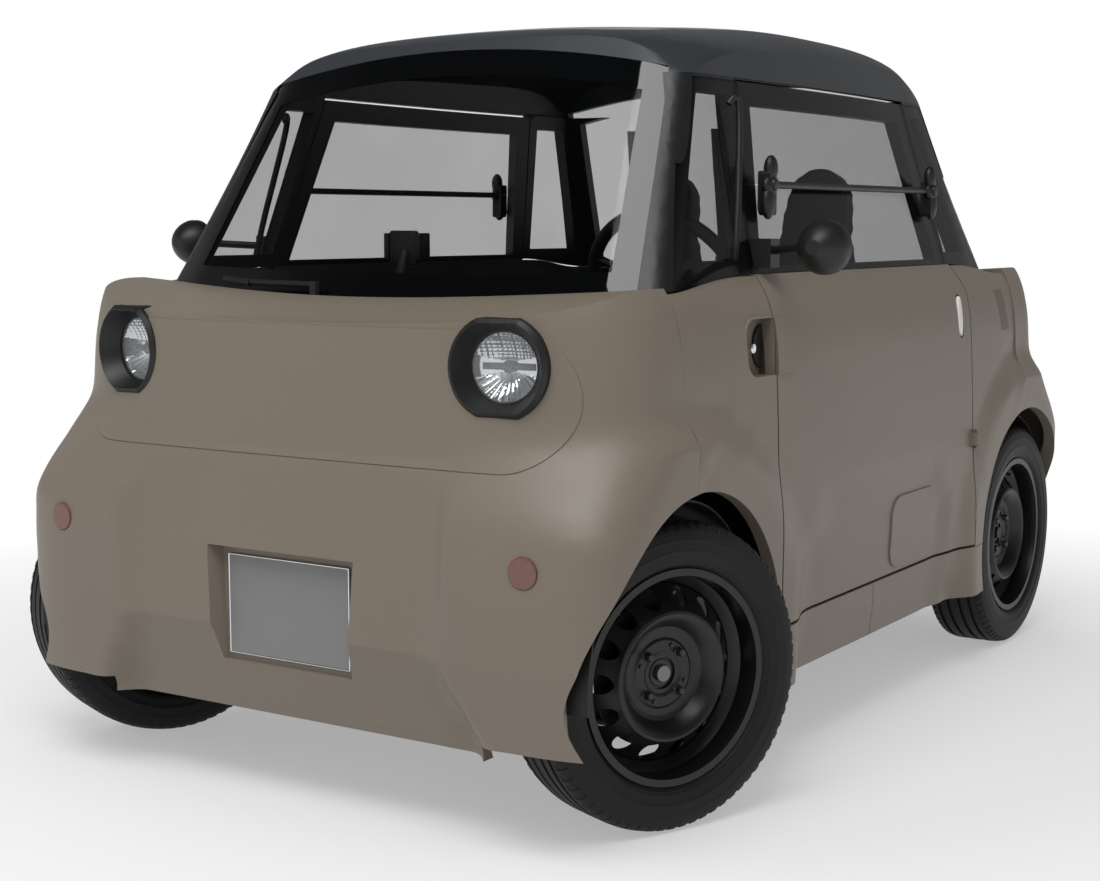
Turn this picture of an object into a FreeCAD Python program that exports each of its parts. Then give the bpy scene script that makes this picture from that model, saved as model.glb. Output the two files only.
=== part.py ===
import FreeCAD, Part
import os
from math import atan2, cos, pi, radians, sin, sqrt, tan
from FreeCAD import Vector

# Two-seat electric microcar. Front is -Y, the car's left is +X, the ground is z = 0.
# The front wheels stand turned, as parked.

# Overall body
axle_y = 864.0
body_half_width = 692.0
wall = 24.0
panel_gap = 0.8
shut_gap = 5.0
seat_gap = 0.3

# Nose, the front and rear mouldings are alike
nose_seam_y = 880.0
nose_foot_z = 160.0
corner_foot_z = 190.0
corner_foot_x = 435.0
bumper_reach = 1204.0
chin_z = 333.0
shoulder_z = 560.0
fold_width = 58.0
mask_foot_z = 655.0
mask_rise = 2.0
mask_round_x = 452.0
bonnet_front_z = 889.0
bonnet_rear_z = 928.0

# Wheel arches
arch_radius = 314.0
arch_well_radius = 296.0
arch_mouth_x = 600.0
arch_well_x = 335.0
arch_z = 288.0
liner_wall = 4.0
liner_mouth_x = 640.0
liner_foot_z = 266.0
well_foot_z = 265.0
strut_slot_half = 105.0
strut_slot_top = 530.0

# Wheels
tyre_radius = 277.0
tyre_width = 150.0
rim_radius = 193.0
rim_width = 132.0
wheel_x = 596.0
rim_holes = 14
rim_hole_radius = 17.0
rim_hole_ring = 138.0
hub_bore_radius = 29.0
rim_wall = 5.0
rim_bowl_depth = 32.0
face_set_back = 12.0
hub_inner_x = -12.0
hub_radius = 62.0
spindle_radius = 14.0
steer_angle = -23.0

# Running gear
arm_low_z = 186.0
arm_high_z = 368.0
arm_eye_radius = 20.0
arm_height = 22.0
arm_spread = 60.0
arm_tube_radius = 9.0
kingpin_radius = 12.0
strut_foot_x = 400.0
strut_radius = 20.0
spring_top_z = 640.0
tower_wall = 34.0
tower_half_length = 104.0
beam_radius = 26.0
rack_radius = 14.0
rack_half_length = 325.0
steer_lever = 110.0

# Frame and floor
rail_x = 200.0
rail_width = 40.0
rail_height = 20.0
rail_top = 196.0
rail_half_length = 1100.0
cross_member = 30.0
cross_half_width = 330.0
floor_wall = 20.0
bulkhead_wall = 18.0
footwell_half = 331.0
footwell_front = 740.0
shelf_z = 880.0
shelf_wall = 12.0
shelf_rear = 850.0
shelf_half_width = 560.0

# Side doors, the same moulding on both sides, turned half round about door_mid_y
door_mid_y = -25.0
door_half_length = 517.0
door_foot_z = 309.0
door_wall = 44.0
door_draft = 15.0
door_belt_half = 500.0
door_head_half = 413.0
door_head_drop = 6.0
hinge_x = 691.0
dent_half_length = 400.0
dent_top_z = 520.0
dent_depth = 9.0
pad_y = 160.0
pad_z = 398.0
pad_length = 262.0
pad_height = 158.0
pad_rise = 4.0
handle_y = -552.0
handle_z = 836.0
handle_length = 200.0
handle_height = 106.0
handle_corner = 34.0
handle_depth = 30.0
handle_rise = 3.5
marker_pocket_y = 430.0
marker_pocket_z = 850.0
marker_pocket_depth = 5.0
sill_split_y = -25.0
sill_split_lean = 34.0
vent_count = 9
vent_y = 694.0
vent_pitch = 7.0
vent_low_z = 803.0
vent_high_z = 902.0
vent_lean = 28.0
vent_depth = 5.0

# Cabin, alike in front of and behind door_mid_y
belt_z = 966.0
belt_drop = 24.0
belt_half_width = 618.0
cowl_z = 924.0
roof_edge_z = 1340.0
header_rise = 50.0
screen_foot_sag = 82.0
screen_head_sag = 42.0
side_sag = 22.0
rim_reach = 14.0
roof_wall = 22.0
roof_glass_half = 330.0
roof_glass_front = -520.0
roof_glass_rear = 330.0
glass_lap = 28.0
screen_foot_half = 549.0
screen_head_half = 476.0
screen_corner_z = 1352.0
quarter_foot = 808.0
quarter_head = 585.0
window_border = 44.0
window_split_z = 1136.0
bar_stand_off = 16.0
bar_radius = 7.0
mirror_x = 775.0
mirror_y = -575.0
mirror_z = 1020.0
mirror_radius = 50.0
mirror_foot_x = 640.0
mirror_foot_y = -493.0
roof_edge_half_width = 536.0
roof_top_z = 1492.0
roof_front_fall = 32.0
roof_side_fall = 30.0
screen_foot = 900.0
screen_head = 642.0
frame_wall = 34.0
pillar_radius = 58.0
cowl_strip = 22.0
cowl_gap = 1.6
belt_gap = 1.8
glass_wall = 5.0
hinge_y = 494.5
hinge_radius = 4.5
hinge_reach = 18.0
hinge_clearance = 1.2
hinge_pin_radius = 2.0
hinge_half_height = 15.0
hinge_heights = (380.0, 560.0)

# Lamps
lamp_x = 430.0
lamp_z = 822.0
bezel_width = 184.0
bezel_height = 168.0
lens_radius = 62.0
lamp_y = -1098.0
lamp_turn = 10.0
bezel_proud = 22.0
bezel_depth = 90.0
bezel_lip = 7.0
lamp_sink = 34.0
marker_turn = 6.0
marker_x = 537.0
marker_z = 499.0
marker_radius = 27.0

# Plate
plate_width = 284.0
plate_height = 185.0
plate_thickness = 3.0
plate_z = 367.0
plate_seat_y = -1150.0

# Inside
dash_half_width = 600.0
dash_top_z = 893.0
dash_foot_z = 780.0
dash_front_y = -850.0
dash_rear_y = -525.0
dash_wall = 16.0
wheel_centre_x = 300.0
wheel_centre_y = -300.0
wheel_centre_z = 925.0
wheel_tilt = 24.0
wheel_ring_radius = 172.0
wheel_grip_radius = 14.0
wheel_hub_radius = 38.0
column_radius = 30.0
column_length = 280.0
shaft_radius = 10.0
seat_width = 420.0
seat_back_rise = 800.0
seat_back_wall = 74.0
seat_lean = 12.0
cushion_length = 450.0
cushion_wall = 100.0
cushion_z = 432.0
driver_x = 300.0
driver_back_y = 262.0
passenger_x = -175.0
passenger_back_y = 374.0
wiper_x = -115.0
wiper_y = -932.5
wiper_z = 947.0
wiper_boss_radius = 9.0


def blend(value, low, high):
    """Smooth step from 0 at low to 1 at high."""
    share = min(1.0, max(0.0, (value - low) / (high - low)))
    return share * share * (3.0 - 2.0 * share)


def along(value, stations):
    """Value between named stations, easing through each."""
    if value <= stations[0][0]:
        return stations[0][1]
    for (start, first), (end, second) in zip(stations, stations[1:]):
        if value <= end:
            return first + (second - first) * (value - start) / (end - start)
    return stations[-1][1]


def box(x0, x1, y0, y1, z0, z1):
    return Part.makeBox(x1 - x0, y1 - y0, z1 - z0, Vector(x0, y0, z0))


def rod(x, y, z, radius, length, axis):
    return Part.makeCylinder(radius, length, Vector(x, y, z), Vector(*axis))


def bar(start, end, radius):
    path = Vector(*end) - Vector(*start)
    return Part.makeCylinder(radius, path.Length, Vector(*start), path)


def flat(points):
    """Planar face through corner points."""
    loop = [Vector(*point) for point in points]
    return Part.Face(Part.makePolygon(loop + [loop[0]]))


def mirrored_x(shape):
    return shape.mirror(Vector(0, 0, 0), Vector(1, 0, 0))


def mirrored_y(shape):
    return shape.mirror(Vector(0, 0, 0), Vector(0, 1, 0))


def half_turned(shape):
    """Half turn about the upright line through the middle of the doors."""
    copy = shape.copy()
    copy.rotate(Vector(0, door_mid_y, 0), Vector(0, 0, 1), 180)
    return copy


def surface(rows):
    sheet = Part.BSplineSurface()
    sheet.interpolate([[Vector(*point) for point in row] for row in rows])
    return sheet.toShape()


def solid_of(faces):
    shell = Part.makeShell(faces)
    shell.sewShape(0.02)
    solid = Part.Solid(shell)
    solid.fix(0.01, 0.01, 0.05)
    if solid.Volume < 0:
        solid.reverse()
    return solid


def slab(outer_rows, inner_rows):
    """Solid between two grids of points with the same number of rows and columns."""
    outer = surface(outer_rows)
    inner = surface(inner_rows)
    faces = [outer, inner]
    for edge in outer.Edges:
        middle = edge.valueAt((edge.FirstParameter + edge.LastParameter) / 2)
        partner = min(inner.Edges, key=lambda other: other.valueAt(
            (other.FirstParameter + other.LastParameter) / 2).distanceToPoint(middle))
        faces.append(Part.makeRuledSurface(edge, partner))
    return solid_of(faces)


# Body skin


def side_x(y, z):
    """Half width of the body side at a place along the car and a height."""
    profile = along(z, [(150, 646), (200, 658), (300, 671), (420, 679), (560, 682), (700, 677),
                        (820, 671), (880, 662), (920, 649), (945, 634), (belt_z, belt_half_width),
                        (1010, belt_half_width - 34)])
    taper = 16.0 * ((y - door_mid_y) / 900.0) ** 4
    flare = 0.0
    for centre in (-axle_y, axle_y):
        distance = sqrt((y - centre) ** 2 + (z - arch_z) ** 2)
        flare = max(flare, 1.0 - blend(distance, arch_radius + 75.0, arch_radius + 140.0))
    lip = body_half_width - profile + taper
    return profile - taper + max(0.0, lip) * flare - door_dent(y, z)


def door_dent(y, z):
    """Depth of the wide shallow dent in the lower body side."""
    along_side = abs(y - door_mid_y) / dent_half_length
    height = dent_top_z - 80.0 * blend(along_side, 0.55, 1.0)
    return dent_depth * (1.0 - blend(along_side, 0.86, 1.0)) * (1.0 - blend(z, height - 26.0, height + 26.0))


def nose_reach(x, z):
    """How far forward the nose stands at a height, before its corners turn back."""
    corner = along(z, [(150, 1176), (200, 1184), (chin_z, 1200), (480, bumper_reach),
                       (shoulder_z, 1194), (610, 1174), (mask_foot_z, 1150), (700, 1141), (1010, 1137)])
    middle = along(z, [(150, 1122), (200, 1138), (chin_z, 1185), (480, 1179), (560, 1167),
                       (640, 1153), (mask_foot_z + 10, 1141), (1010, 1137)])
    inner = along(z, [(190, 400), (chin_z, 320), (450, 330), (600, 330)])
    return middle + (corner - middle) * blend(abs(x), inner, inner + fold_width)


def nose_square(z):
    """How square the corners of the nose are in plan."""
    return along(z, [(150, 9.0), (220, 8.8), (300, 8.0), (400, 7.2), (540, 7.2), (620, 4.6), (690, 3.0), (1010, 2.7)])


def nose_outline(z, inset):
    """Evenly spaced points of one half of the nose outline, from the middle to behind the seam."""
    half = side_x(-nose_seam_y, z) - inset
    power = nose_square(z)
    fine = []
    for i in range(181):
        angle = pi / 2 * i / 180
        x = half * sin(angle) ** (2.0 / power)
        reach = nose_reach(x, z) - inset - nose_seam_y
        fine.append((x, -nose_seam_y - reach * max(0.0, cos(angle)) ** (2.0 / power)))
    for back in (30.0, 65.0, 100.0):
        fine.append((side_x(-nose_seam_y + back, z) - inset, -nose_seam_y + back))
    lengths = [0.0]
    for (x0, y0), (x1, y1) in zip(fine, fine[1:]):
        lengths.append(lengths[-1] + sqrt((x1 - x0) ** 2 + (y1 - y0) ** 2))
    points = []
    count = 27
    for i in range(count + 1):
        target = lengths[-1] * i / count
        k = max(j for j, length in enumerate(lengths[:-1]) if length <= target)
        share = (target - lengths[k]) / (lengths[k + 1] - lengths[k])
        (x0, y0), (x1, y1) = fine[k], fine[k + 1]
        points.append((x0 + (x1 - x0) * share, y0 + (y1 - y0) * share))
    return points


def rear_seam():
    """Where the rear moulding ends, as far from the doors' middle as the front one."""
    return nose_seam_y + 2.0 * door_mid_y


def nose_skin(inset):
    levels = [140, 170, 210, 250, 290, 318, chin_z, 348, 380, 420, 460, 500, 540, 575, 605, 630,
              mask_foot_z - 8, mask_foot_z + 8, 680, 720, 770, 820, 870, 920, 970, 1020]
    rows = []
    for z in levels:
        half = nose_outline(z, inset)
        rows.append([(-x, y, z) for x, y in reversed(half)] + [(x, y, z) for x, y in half[1:]])
    return surface(rows)


def bonnet_skin(drop):
    rows = []
    for y in (-1290.0, -1140.0, -1080.0, -1000.0, -930.0, -860.0, -770.0):
        row = []
        for x in (-760.0, -560.0, -400.0, -200.0, 0.0, 200.0, 400.0, 560.0, 760.0):
            fall = (bonnet_rear_z - bonnet_front_z) * blend(-y, 930.0, 1150.0)
            crown = 22.0 * (x / 600.0) ** 2
            row.append((x, y, bonnet_rear_z + crown - fall - drop))
        rows.append(row)
    return surface(rows)


def carved(block, sheets, inside):
    """Piece of a block, split by sheets, that holds a point."""
    pieces = block.generalFuse(sheets)[0].Solids
    return [piece for piece in pieces if piece.isInside(Vector(*inside), 0.01, False)][0]


def nose_block(inset):
    """Filled nose from its foot to the bonnet, without its wheel arches."""
    block = box(-740, 740, -1280, -rear_seam(), nose_foot_z, 1000)
    return carved(block, [nose_skin(inset), bonnet_skin(inset)], (0, -nose_seam_y - 20, 500))


def arch_cut(centre_y, radius, x0, x1):
    return rod(x0, centre_y, arch_z, radius, x1 - x0, (1, 0, 0))


def plate_pocket(grow):
    """Recess for the number plate, with sloped side walls."""
    front = [(-204 - grow, -1260, 488 + grow), (204 + grow, -1260, 488 + grow),
             (172 + grow, -1260, 262 - grow), (-172 - grow, -1260, 262 - grow)]
    seat = plate_seat_y + grow
    rear = [(-160 - grow, seat, 474 + grow), (160 + grow, seat, 474 + grow),
            (150 + grow, seat, 262 - grow), (-150 - grow, seat, 262 - grow)]
    loops = [Part.makePolygon([Vector(*p) for p in ring + [ring[0]]]) for ring in (front, rear)]
    return Part.makeLoft(loops, True, True)


def turned(shape, x, y, angle):
    """Copy turned about an upright line."""
    copy = shape.copy()
    copy.rotate(Vector(x, y, 0), Vector(0, 0, 1), angle)
    return copy


def lamp_block(radius, height, lip, front, depth):
    """Round bar that faces the front, flattened above and below, with a sloped front edge."""
    tip = Part.makeCone(radius - lip, radius, lip, Vector(lamp_x, front, lamp_z), Vector(0, 1, 0))
    block = tip.fuse(rod(lamp_x, front + lip, lamp_z, radius, depth - lip, (0, 1, 0)))
    x = lamp_x - radius - 1
    side = [(x, front, -height + lip), (x, front + lip, -height), (x, front + depth, -height),
            (x, front + depth, height), (x, front + lip, height), (x, front, height - lip)]
    side = [(a, b, lamp_z + c) for a, b, c in side]
    return block.common(flat(side).extrude(Vector(2 * radius + 2, 0, 0)))


def bezel_body(grow):
    """Left lamp surround as a filled block."""
    block = lamp_block(bezel_width / 2 + grow, bezel_height / 2 + grow, bezel_lip,
                       lamp_y - bezel_proud - grow, bezel_depth + 2 * grow)
    return turned(block, lamp_x, lamp_y, lamp_turn)


def bezel():
    """Left lamp surround, its flattened mouth narrows towards the round lens."""
    front = lamp_y - bezel_proud
    mouth = Part.makeCone(bezel_width / 2 - 8, lens_radius + 2, lamp_sink, Vector(lamp_x, front - 0.1, lamp_z),
                          Vector(0, 1, 0))
    flats = bezel_height / 2 - 9
    mouth = mouth.common(box(lamp_x - 200, lamp_x + 200, front - 1, front + 100, lamp_z - flats, lamp_z + flats))
    bore = rod(lamp_x, front, lamp_z, lens_radius + seat_gap, 200, (0, 1, 0))
    return bezel_body(0.0).cut(turned(mouth.fuse(bore), lamp_x, lamp_y, lamp_turn))


def lamp_glass():
    """Left round lamp with a shallow dome."""
    front = lamp_y - bezel_proud + lamp_sink + 4
    body = rod(lamp_x, front, lamp_z, lens_radius, bezel_depth - lamp_sink - 4, (0, 1, 0))
    ball_radius = 190.0
    sag = ball_radius - sqrt(ball_radius ** 2 - lens_radius ** 2)
    ball = Part.makeSphere(ball_radius, Vector(lamp_x, front - sag + ball_radius, lamp_z))
    dome = ball.common(rod(lamp_x, front - sag - 5, lamp_z, lens_radius, sag + 5.01, (0, 1, 0)))
    return turned(body.fuse(dome).removeSplitter(), lamp_x, lamp_y, lamp_turn)


def marker_body(grow):
    """Round marker lamp in the left corner of the bumper."""
    reach = nose_surface_y(marker_x, marker_z)
    body = rod(marker_x, reach - 4, marker_z, marker_radius + grow, 50 + grow, (0, 1, 0))
    return turned(body, marker_x, reach, marker_turn)


def nose_surface_y(x, z):
    """Where the outside of the nose lies at a point seen from the front."""
    half = nose_outline(z, 0.0)
    for (x0, y0), (x1, y1) in zip(half, half[1:]):
        if x0 <= x <= x1:
            return y0 + (y1 - y0) * (x - x0) / (x1 - x0)
    return half[-1][1]


def cowl_outline(inset, low, high):
    """Filled plan of the cabin foot, raised between two heights."""
    points = [(x, y, low) for x, y, z in cabin_foot(inset)]
    return Part.Face(Part.Wire(loop_edges(points))).extrude(Vector(0, 0, high - low))


def mask_prism():
    """Outline of the raised panel round both lamps, seen from the front."""
    low, high, round_x = mask_foot_z - 6.0, bonnet_front_z - 4.0, mask_round_x
    middle = (low + high) / 2
    reach = round_x + (high - low) / 2
    y = -1400.0
    bottom = Part.makeLine(Vector(-round_x, y, low), Vector(round_x, y, low))
    right = Part.Arc(Vector(round_x, y, low), Vector(reach, y, middle), Vector(round_x, y, high)).toShape()
    top = Part.makeLine(Vector(round_x, y, high), Vector(-round_x, y, high))
    left = Part.Arc(Vector(-round_x, y, high), Vector(-reach, y, middle), Vector(-round_x, y, low)).toShape()
    return Part.Face(Part.Wire([bottom, right, top, left])).extrude(Vector(0, 420, 0))


def mouldings():
    """Front and rear mouldings, one shape, cut for the cabin foot."""
    outer = nose_block(0.0).fuse(nose_block(-mask_rise).common(mask_prism())).cut(plate_pocket(0.0))
    inner = nose_block(wall).cut(plate_pocket(wall))
    shell = outer.cut(inner)
    well = arch_cut(-axle_y, arch_well_radius, arch_well_x, arch_mouth_x + 1.0)
    well = well.cut(box(0, corner_foot_x + 10, -1400, -axle_y, 0, well_foot_z))
    for cut in (arch_cut(-axle_y, arch_radius, arch_mouth_x, 760.0), well):
        shell = shell.cut(cut).cut(mirrored_x(cut))
    for cutter in (bezel_body(seat_gap), marker_body(seat_gap)):
        shell = shell.cut(cutter).cut(mirrored_x(cutter))
    foot = box(corner_foot_x, 800, -1400, 0, 0, corner_foot_z)
    shell = shell.cut(foot).cut(mirrored_x(foot))
    opening = cowl_outline(-cowl_strip, cowl_z - 60, cowl_z + 90)
    front = shell.common(box(-800, 800, -1400, -nose_seam_y, 0, 1200))
    return front.cut(opening), mirrored_y(shell).cut(opening)


def side_rows(depth):
    """Grid of points on the left body side at a depth, from seam to seam."""
    front, rear = -nose_seam_y + panel_gap, rear_seam() - panel_gap
    lengths = [front + (rear - front) * i / 30.0 for i in range(31)]
    levels = [184.0, 230, 290, 350, 420, 490, 560, 610, 650, 690, 730, 780, 830, 880, 920, 945, 968, 990]
    return [[(side_x(y, z) - depth, y, z) for y in lengths] for z in levels]


def side_slab(near, far):
    """One body side between the mouldings, between two depths below its skin."""
    return slab(side_rows(near), side_rows(far))


def inside_body():
    """All that lies between the two body sides."""
    outer = side_rows(wall + seat_gap)
    middle = [[(0.0, y, z) for x, y, z in row] for row in outer]
    half = slab(outer, middle)
    return half.fuse(mirrored_x(half)).removeSplitter()


def belt_height(y):
    """Height of the belt, which falls towards both ends of the cabin."""
    return belt_z - belt_drop * blend(abs(y - door_mid_y), 560.0, 820.0)


def above_belt(gap):
    """All above the belt on the left."""
    places = [door_mid_y + 80.0 * i for i in range(-12, 13)]
    curve = Part.BSplineCurve()
    curve.interpolate([Vector(400, y, belt_height(y) - gap) for y in places])
    first, last = [Vector(400, y, 1100) for y in (places[0], places[-1])]
    edge = curve.toShape()
    start, end = edge.Vertexes[0].Point, edge.Vertexes[-1].Point
    lines = [Part.makeLine(end, last), Part.makeLine(last, first), Part.makeLine(first, start)]
    return Part.Face(Part.Wire([edge] + lines)).extrude(Vector(400, 0, 0))


def door_prism(grow):
    """Space of the left door, wider outside than inside at its front edge."""
    rings = []
    shift = tan(radians(door_draft))
    for x in (430.0, 760.0):
        edge = [(front_y + (skin - x) * shift - grow, z) for front_y, skin, z in (
            (door_mid_y - door_half_length, 685.0, door_foot_z - grow),
            (door_mid_y - door_half_length, 685.0, 900.0),
            (door_mid_y - door_belt_half, belt_half_width, belt_z + 4),
            (door_mid_y - door_head_half, roof_edge_half_width, roof_edge_z - door_head_drop + grow))]
        edge += [(door_mid_y + door_head_half + grow, roof_edge_z - door_head_drop + grow),
                 (door_mid_y + door_belt_half + grow, belt_z + 4),
                 (door_mid_y + door_half_length + grow, 900.0),
                 (door_mid_y + door_half_length + grow, door_foot_z - grow)]
        points = [Vector(x, y, z) for y, z in edge]
        rings.append(Part.makePolygon(points + [points[0]]))
    return Part.makeLoft(rings, True, True)


def placed_for(side, shape):
    """A shape made for the left door, placed so that mirroring it gives its place on either side."""
    return shape if side > 0 else mirrored_x(half_turned(shape))


def door_space(side, gap):
    """Space of a door carried to the left side of the car."""
    return placed_for(side, door_prism(gap))


def side_block(y, z, length, height, corner, x0=560.0, x1=760.0):
    """Rounded block through the body side about a place seen from the side."""
    block = box(x0, x1, y - length / 2, y + length / 2, z - height / 2, z + height / 2)
    return block.makeFillet(corner, [edge for edge in block.Edges if edge.BoundBox.XLength > 50])


def handle_block(grow):
    return side_block(handle_y, handle_z, handle_length + 2 * grow, handle_height + 2 * grow, handle_corner + grow)


def handle_cup(grow):
    """Pan behind the recess that a hand reaches into, ahead of the door."""
    x = side_x(handle_y, handle_z)
    rear = door_mid_y - door_half_length - shut_gap
    space = box(x - handle_depth - 4 - grow, x - 6 + grow, -900, rear + grow, 0, 1200)
    return handle_block(4.0 + grow).common(space)


def handle_hollow():
    """Hollow of that recess, shallow at its front and deep at the door."""
    x = side_x(handle_y, handle_z)
    front = handle_y - handle_length / 2
    rear = door_mid_y - door_half_length
    plan = [(x + 60, front, 0), (x + 60, rear, 0), (x - handle_depth, rear, 0), (x - handle_depth, rear - 46, 0),
            (x - 8, front, 0)]
    return handle_block(0.0).common(flat(plan).extrude(Vector(0, 0, 1200)))


def vents():
    """Slanted slots of the air outlet in the left rear panel."""
    slots = []
    for i in range(vent_count):
        y = vent_y + vent_pitch * i
        corners = [(560, y, vent_high_z), (560, y + 3.0, vent_high_z), (560, y + 3.0 + vent_lean, vent_low_z),
                   (560, y + vent_lean, vent_low_z)]
        slots.append(flat(corners).extrude(Vector(200, 0, 0)))
    return slots


def hinge_place(side):
    """Hinge line of a door carried to the left side: at its rear on the left, at its front on the right."""
    return hinge_y if side > 0 else 2.0 * door_mid_y - hinge_y


def hinge_lugs(side):
    """Fixed half of both door hinges: two ears and a pin each."""
    y = hinge_place(side)
    pieces = []
    for z in hinge_heights:
        half = hinge_half_height
        for low in (z - half - 6.5, z + half + 0.5):
            ear = box(hinge_x - hinge_reach, hinge_x, min(y, y + side * 12), max(y, y + side * 12), low, low + 6)
            pieces.append(ear.fuse(rod(hinge_x, y, low, hinge_radius, 6, (0, 0, 1))))
        pieces.append(rod(hinge_x, y, z - half - 6, hinge_pin_radius, 2 * half + 12, (0, 0, 1)))
    return pieces


def hinge_spaces(side):
    """Round clearance in the panels on both sides of each hinge."""
    half = hinge_half_height + 6 + hinge_clearance
    return [rod(hinge_x, hinge_place(side), z - half, hinge_radius + hinge_clearance, 2 * half, (0, 0, 1))
            for z in hinge_heights]


def body_side(side):
    """Panels in front of and behind a door, and the sill below it."""
    panel = side_slab(0.0, wall).cut(above_belt(belt_gap)).cut(door_space(side, shut_gap))
    for end in (-1, 1):
        panel = panel.cut(arch_cut(end * axle_y, arch_radius, arch_well_x, 760.0))
    panel = cut_all(panel, hinge_spaces(side))
    split = door_foot_z - shut_gap
    upper = panel.cut(box(400, 800, -900, 900, 100, split))
    sill = panel.common(box(400, 800, -900, 900, 100, split - panel_gap))
    upper = joined(upper.Solids + hinge_lugs(side) + [placed_for(side, handle_cup(0.0))])
    upper = upper.cut(placed_for(side, handle_hollow()))
    skin = side_slab(-8.0, vent_depth)
    for slot in vents():
        upper = upper.cut(skin.common(slot))
    lean = sill_split_lean / 2
    split = [(400, sill_split_y - lean, door_foot_z), (400, sill_split_y - lean + panel_gap, door_foot_z),
             (400, sill_split_y + lean + panel_gap, 150), (400, sill_split_y + lean, 150)]
    sill = sill.cut(placed_for(side, flat(split).extrude(Vector(400, 0, 0))))
    return (upper, sill) if side > 0 else (mirrored_x(upper), mirrored_x(sill))


# Cabin


def cabin_lines(inset):
    """Foot and head of the upright lines of the cabin wall, all round."""
    quarter = []
    for level in (0.0, 1.0):
        half = belt_half_width + (roof_edge_half_width - belt_half_width) * level - inset
        reach = screen_foot + (screen_head - screen_foot) * level - inset
        sag = screen_foot_sag + (screen_head_sag - screen_foot_sag) * level
        corner = pillar_radius - inset
        lean = atan2(2.0 * sag, half - side_sag - corner)
        drift = atan2(2.0 * side_sag, reach - sag - corner)
        middle_x = half - side_sag - corner * cos(drift)
        middle_y = reach - sag - corner * cos(lean)
        corner_x = middle_x + corner * sin(lean)
        corner_y = middle_y + corner * sin(drift)
        points = []
        for i in range(5):
            x = corner_x * i / 4.0
            points.append((x, reach - sag * (x / corner_x) ** 2))
        for i in (1, 2, 3):
            angle = pi / 2 - lean - (pi / 2 - lean - drift) * i / 4.0
            points.append((middle_x + corner * cos(angle), middle_y + corner * sin(angle)))
        for i in range(5):
            y = corner_y * (4 - i) / 4.0
            points.append((half - side_sag * (y / corner_y) ** 2, y))
        quarter.append((points, corner_x))
    (feet, corner_x), (heads, unused) = quarter
    lines = []
    for (x0, y0), (x1, y1) in zip(feet, heads):
        low = belt_height(door_mid_y + y0)
        low -= (belt_z - belt_drop - cowl_z) * (1.0 - min(1.0, x0 / corner_x) ** 2)
        lines.append(((x0, y0, low), (x1, y1, roof_edge_z)))

    def placed(sx, sy, part):
        return [((sx * a[0], door_mid_y + sy * a[1], a[2]), (sx * b[0], door_mid_y + sy * b[1], b[2]))
                for a, b in part]

    ring = placed(1, -1, lines) + placed(1, 1, lines[-2::-1])
    ring += placed(-1, 1, lines[1:]) + placed(-1, -1, lines[-2:0:-1])
    return ring


def cabin_foot(inset, drop=0.0):
    """Foot of the cabin wall, or a line that lies lower by a drop."""
    points = []
    for (x0, y0, z0), (x1, y1, z1) in cabin_lines(inset):
        share = drop / (z1 - z0)
        points.append((x0 - (x1 - x0) * share, y0 - (y1 - y0) * share, z0 - drop))
    return points


def cabin_slice(z, inset):
    """Level outline of the cabin wall at one height."""
    ring = []
    for (x0, y0, z0), (x1, y1, z1) in cabin_lines(inset):
        share = (z - z0) / (z1 - z0)
        ring.append((x0 + (x1 - x0) * share, y0 + (y1 - y0) * share, z))
    return ring


def loop_edges(points):
    """Smooth closed outline in four edges, split at the middle of each side."""
    curve = Part.BSplineCurve()
    curve.interpolate([Vector(*point) for point in points], PeriodicFlag=True)
    quarter = len(points) // 4
    marks = [curve.parameter(Vector(*points[quarter * i])) for i in range(4)] + [curve.LastParameter]
    marks[0] = curve.FirstParameter
    return [curve.toShape(start, end) for start, end in zip(marks, marks[1:])]


def cabin_layer(near, far, top, drop=0.0):
    """Wall of the cabin from the belt up to a height, between two depths."""
    near_low, near_high = loop_edges(cabin_foot(near, drop)), loop_edges(cabin_slice(top, near))
    far_low, far_high = loop_edges(cabin_foot(far, drop)), loop_edges(cabin_slice(top, far))
    faces = []
    for pair in ((near_low, near_high), (far_low, far_high), (near_low, far_low), (near_high, far_high)):
        faces += [Part.makeRuledSurface(first, second) for first, second in zip(*pair)]
    return solid_of(faces)


def cabin_filled(depth, low, high):
    """Filled cabin between two heights."""
    rings = [Part.Wire(loop_edges(cabin_slice(z, depth))) for z in (low, high)]
    return Part.makeLoft(rings, True, True)


def crown_height(x, y):
    """Height of the roof skin, steeper towards its rounded rim."""
    half = roof_edge_half_width + rim_reach
    reach = screen_head + rim_reach
    place = ((abs(x) / half) ** 5 + (abs(y) / reach) ** 5) ** (1 / 5)
    turn = 0.97
    near = min(place, turn)
    rise = sqrt(1.0 - near ** 6)
    rise -= max(0.0, place - turn) * 3.0 * turn ** 5 / sqrt(1.0 - turn ** 6)
    top = roof_top_z - roof_front_fall * blend(-y, -100.0, 500.0) - roof_side_fall * (x / half) ** 2
    return roof_edge_z + (top - roof_edge_z) * rise


def crown_skin(depth):
    """Top surface of the roof at a depth below its skin."""
    shares = [0.0, 0.16, 0.32, 0.46, 0.58, 0.69, 0.78, 0.85, 0.905, 0.945, 0.98, 1.03, 1.1]
    shares = [-share for share in reversed(shares[1:])] + shares
    rows = []
    for down in shares:
        y = down * (screen_head + rim_reach)
        row = []
        for out in shares:
            x = out * (roof_edge_half_width + rim_reach)
            row.append((x, door_mid_y + y, crown_height(x, y) - depth))
        rows.append(row)
    return surface(rows)


def roof_block(depth):
    """Filled roof, its wall carries on from the cabin wall."""
    block = cabin_filled(depth, roof_edge_z + seat_gap, roof_top_z + 40)
    return block.common(crown_skin(depth).extrude(Vector(0, 0, -400)))


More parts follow.
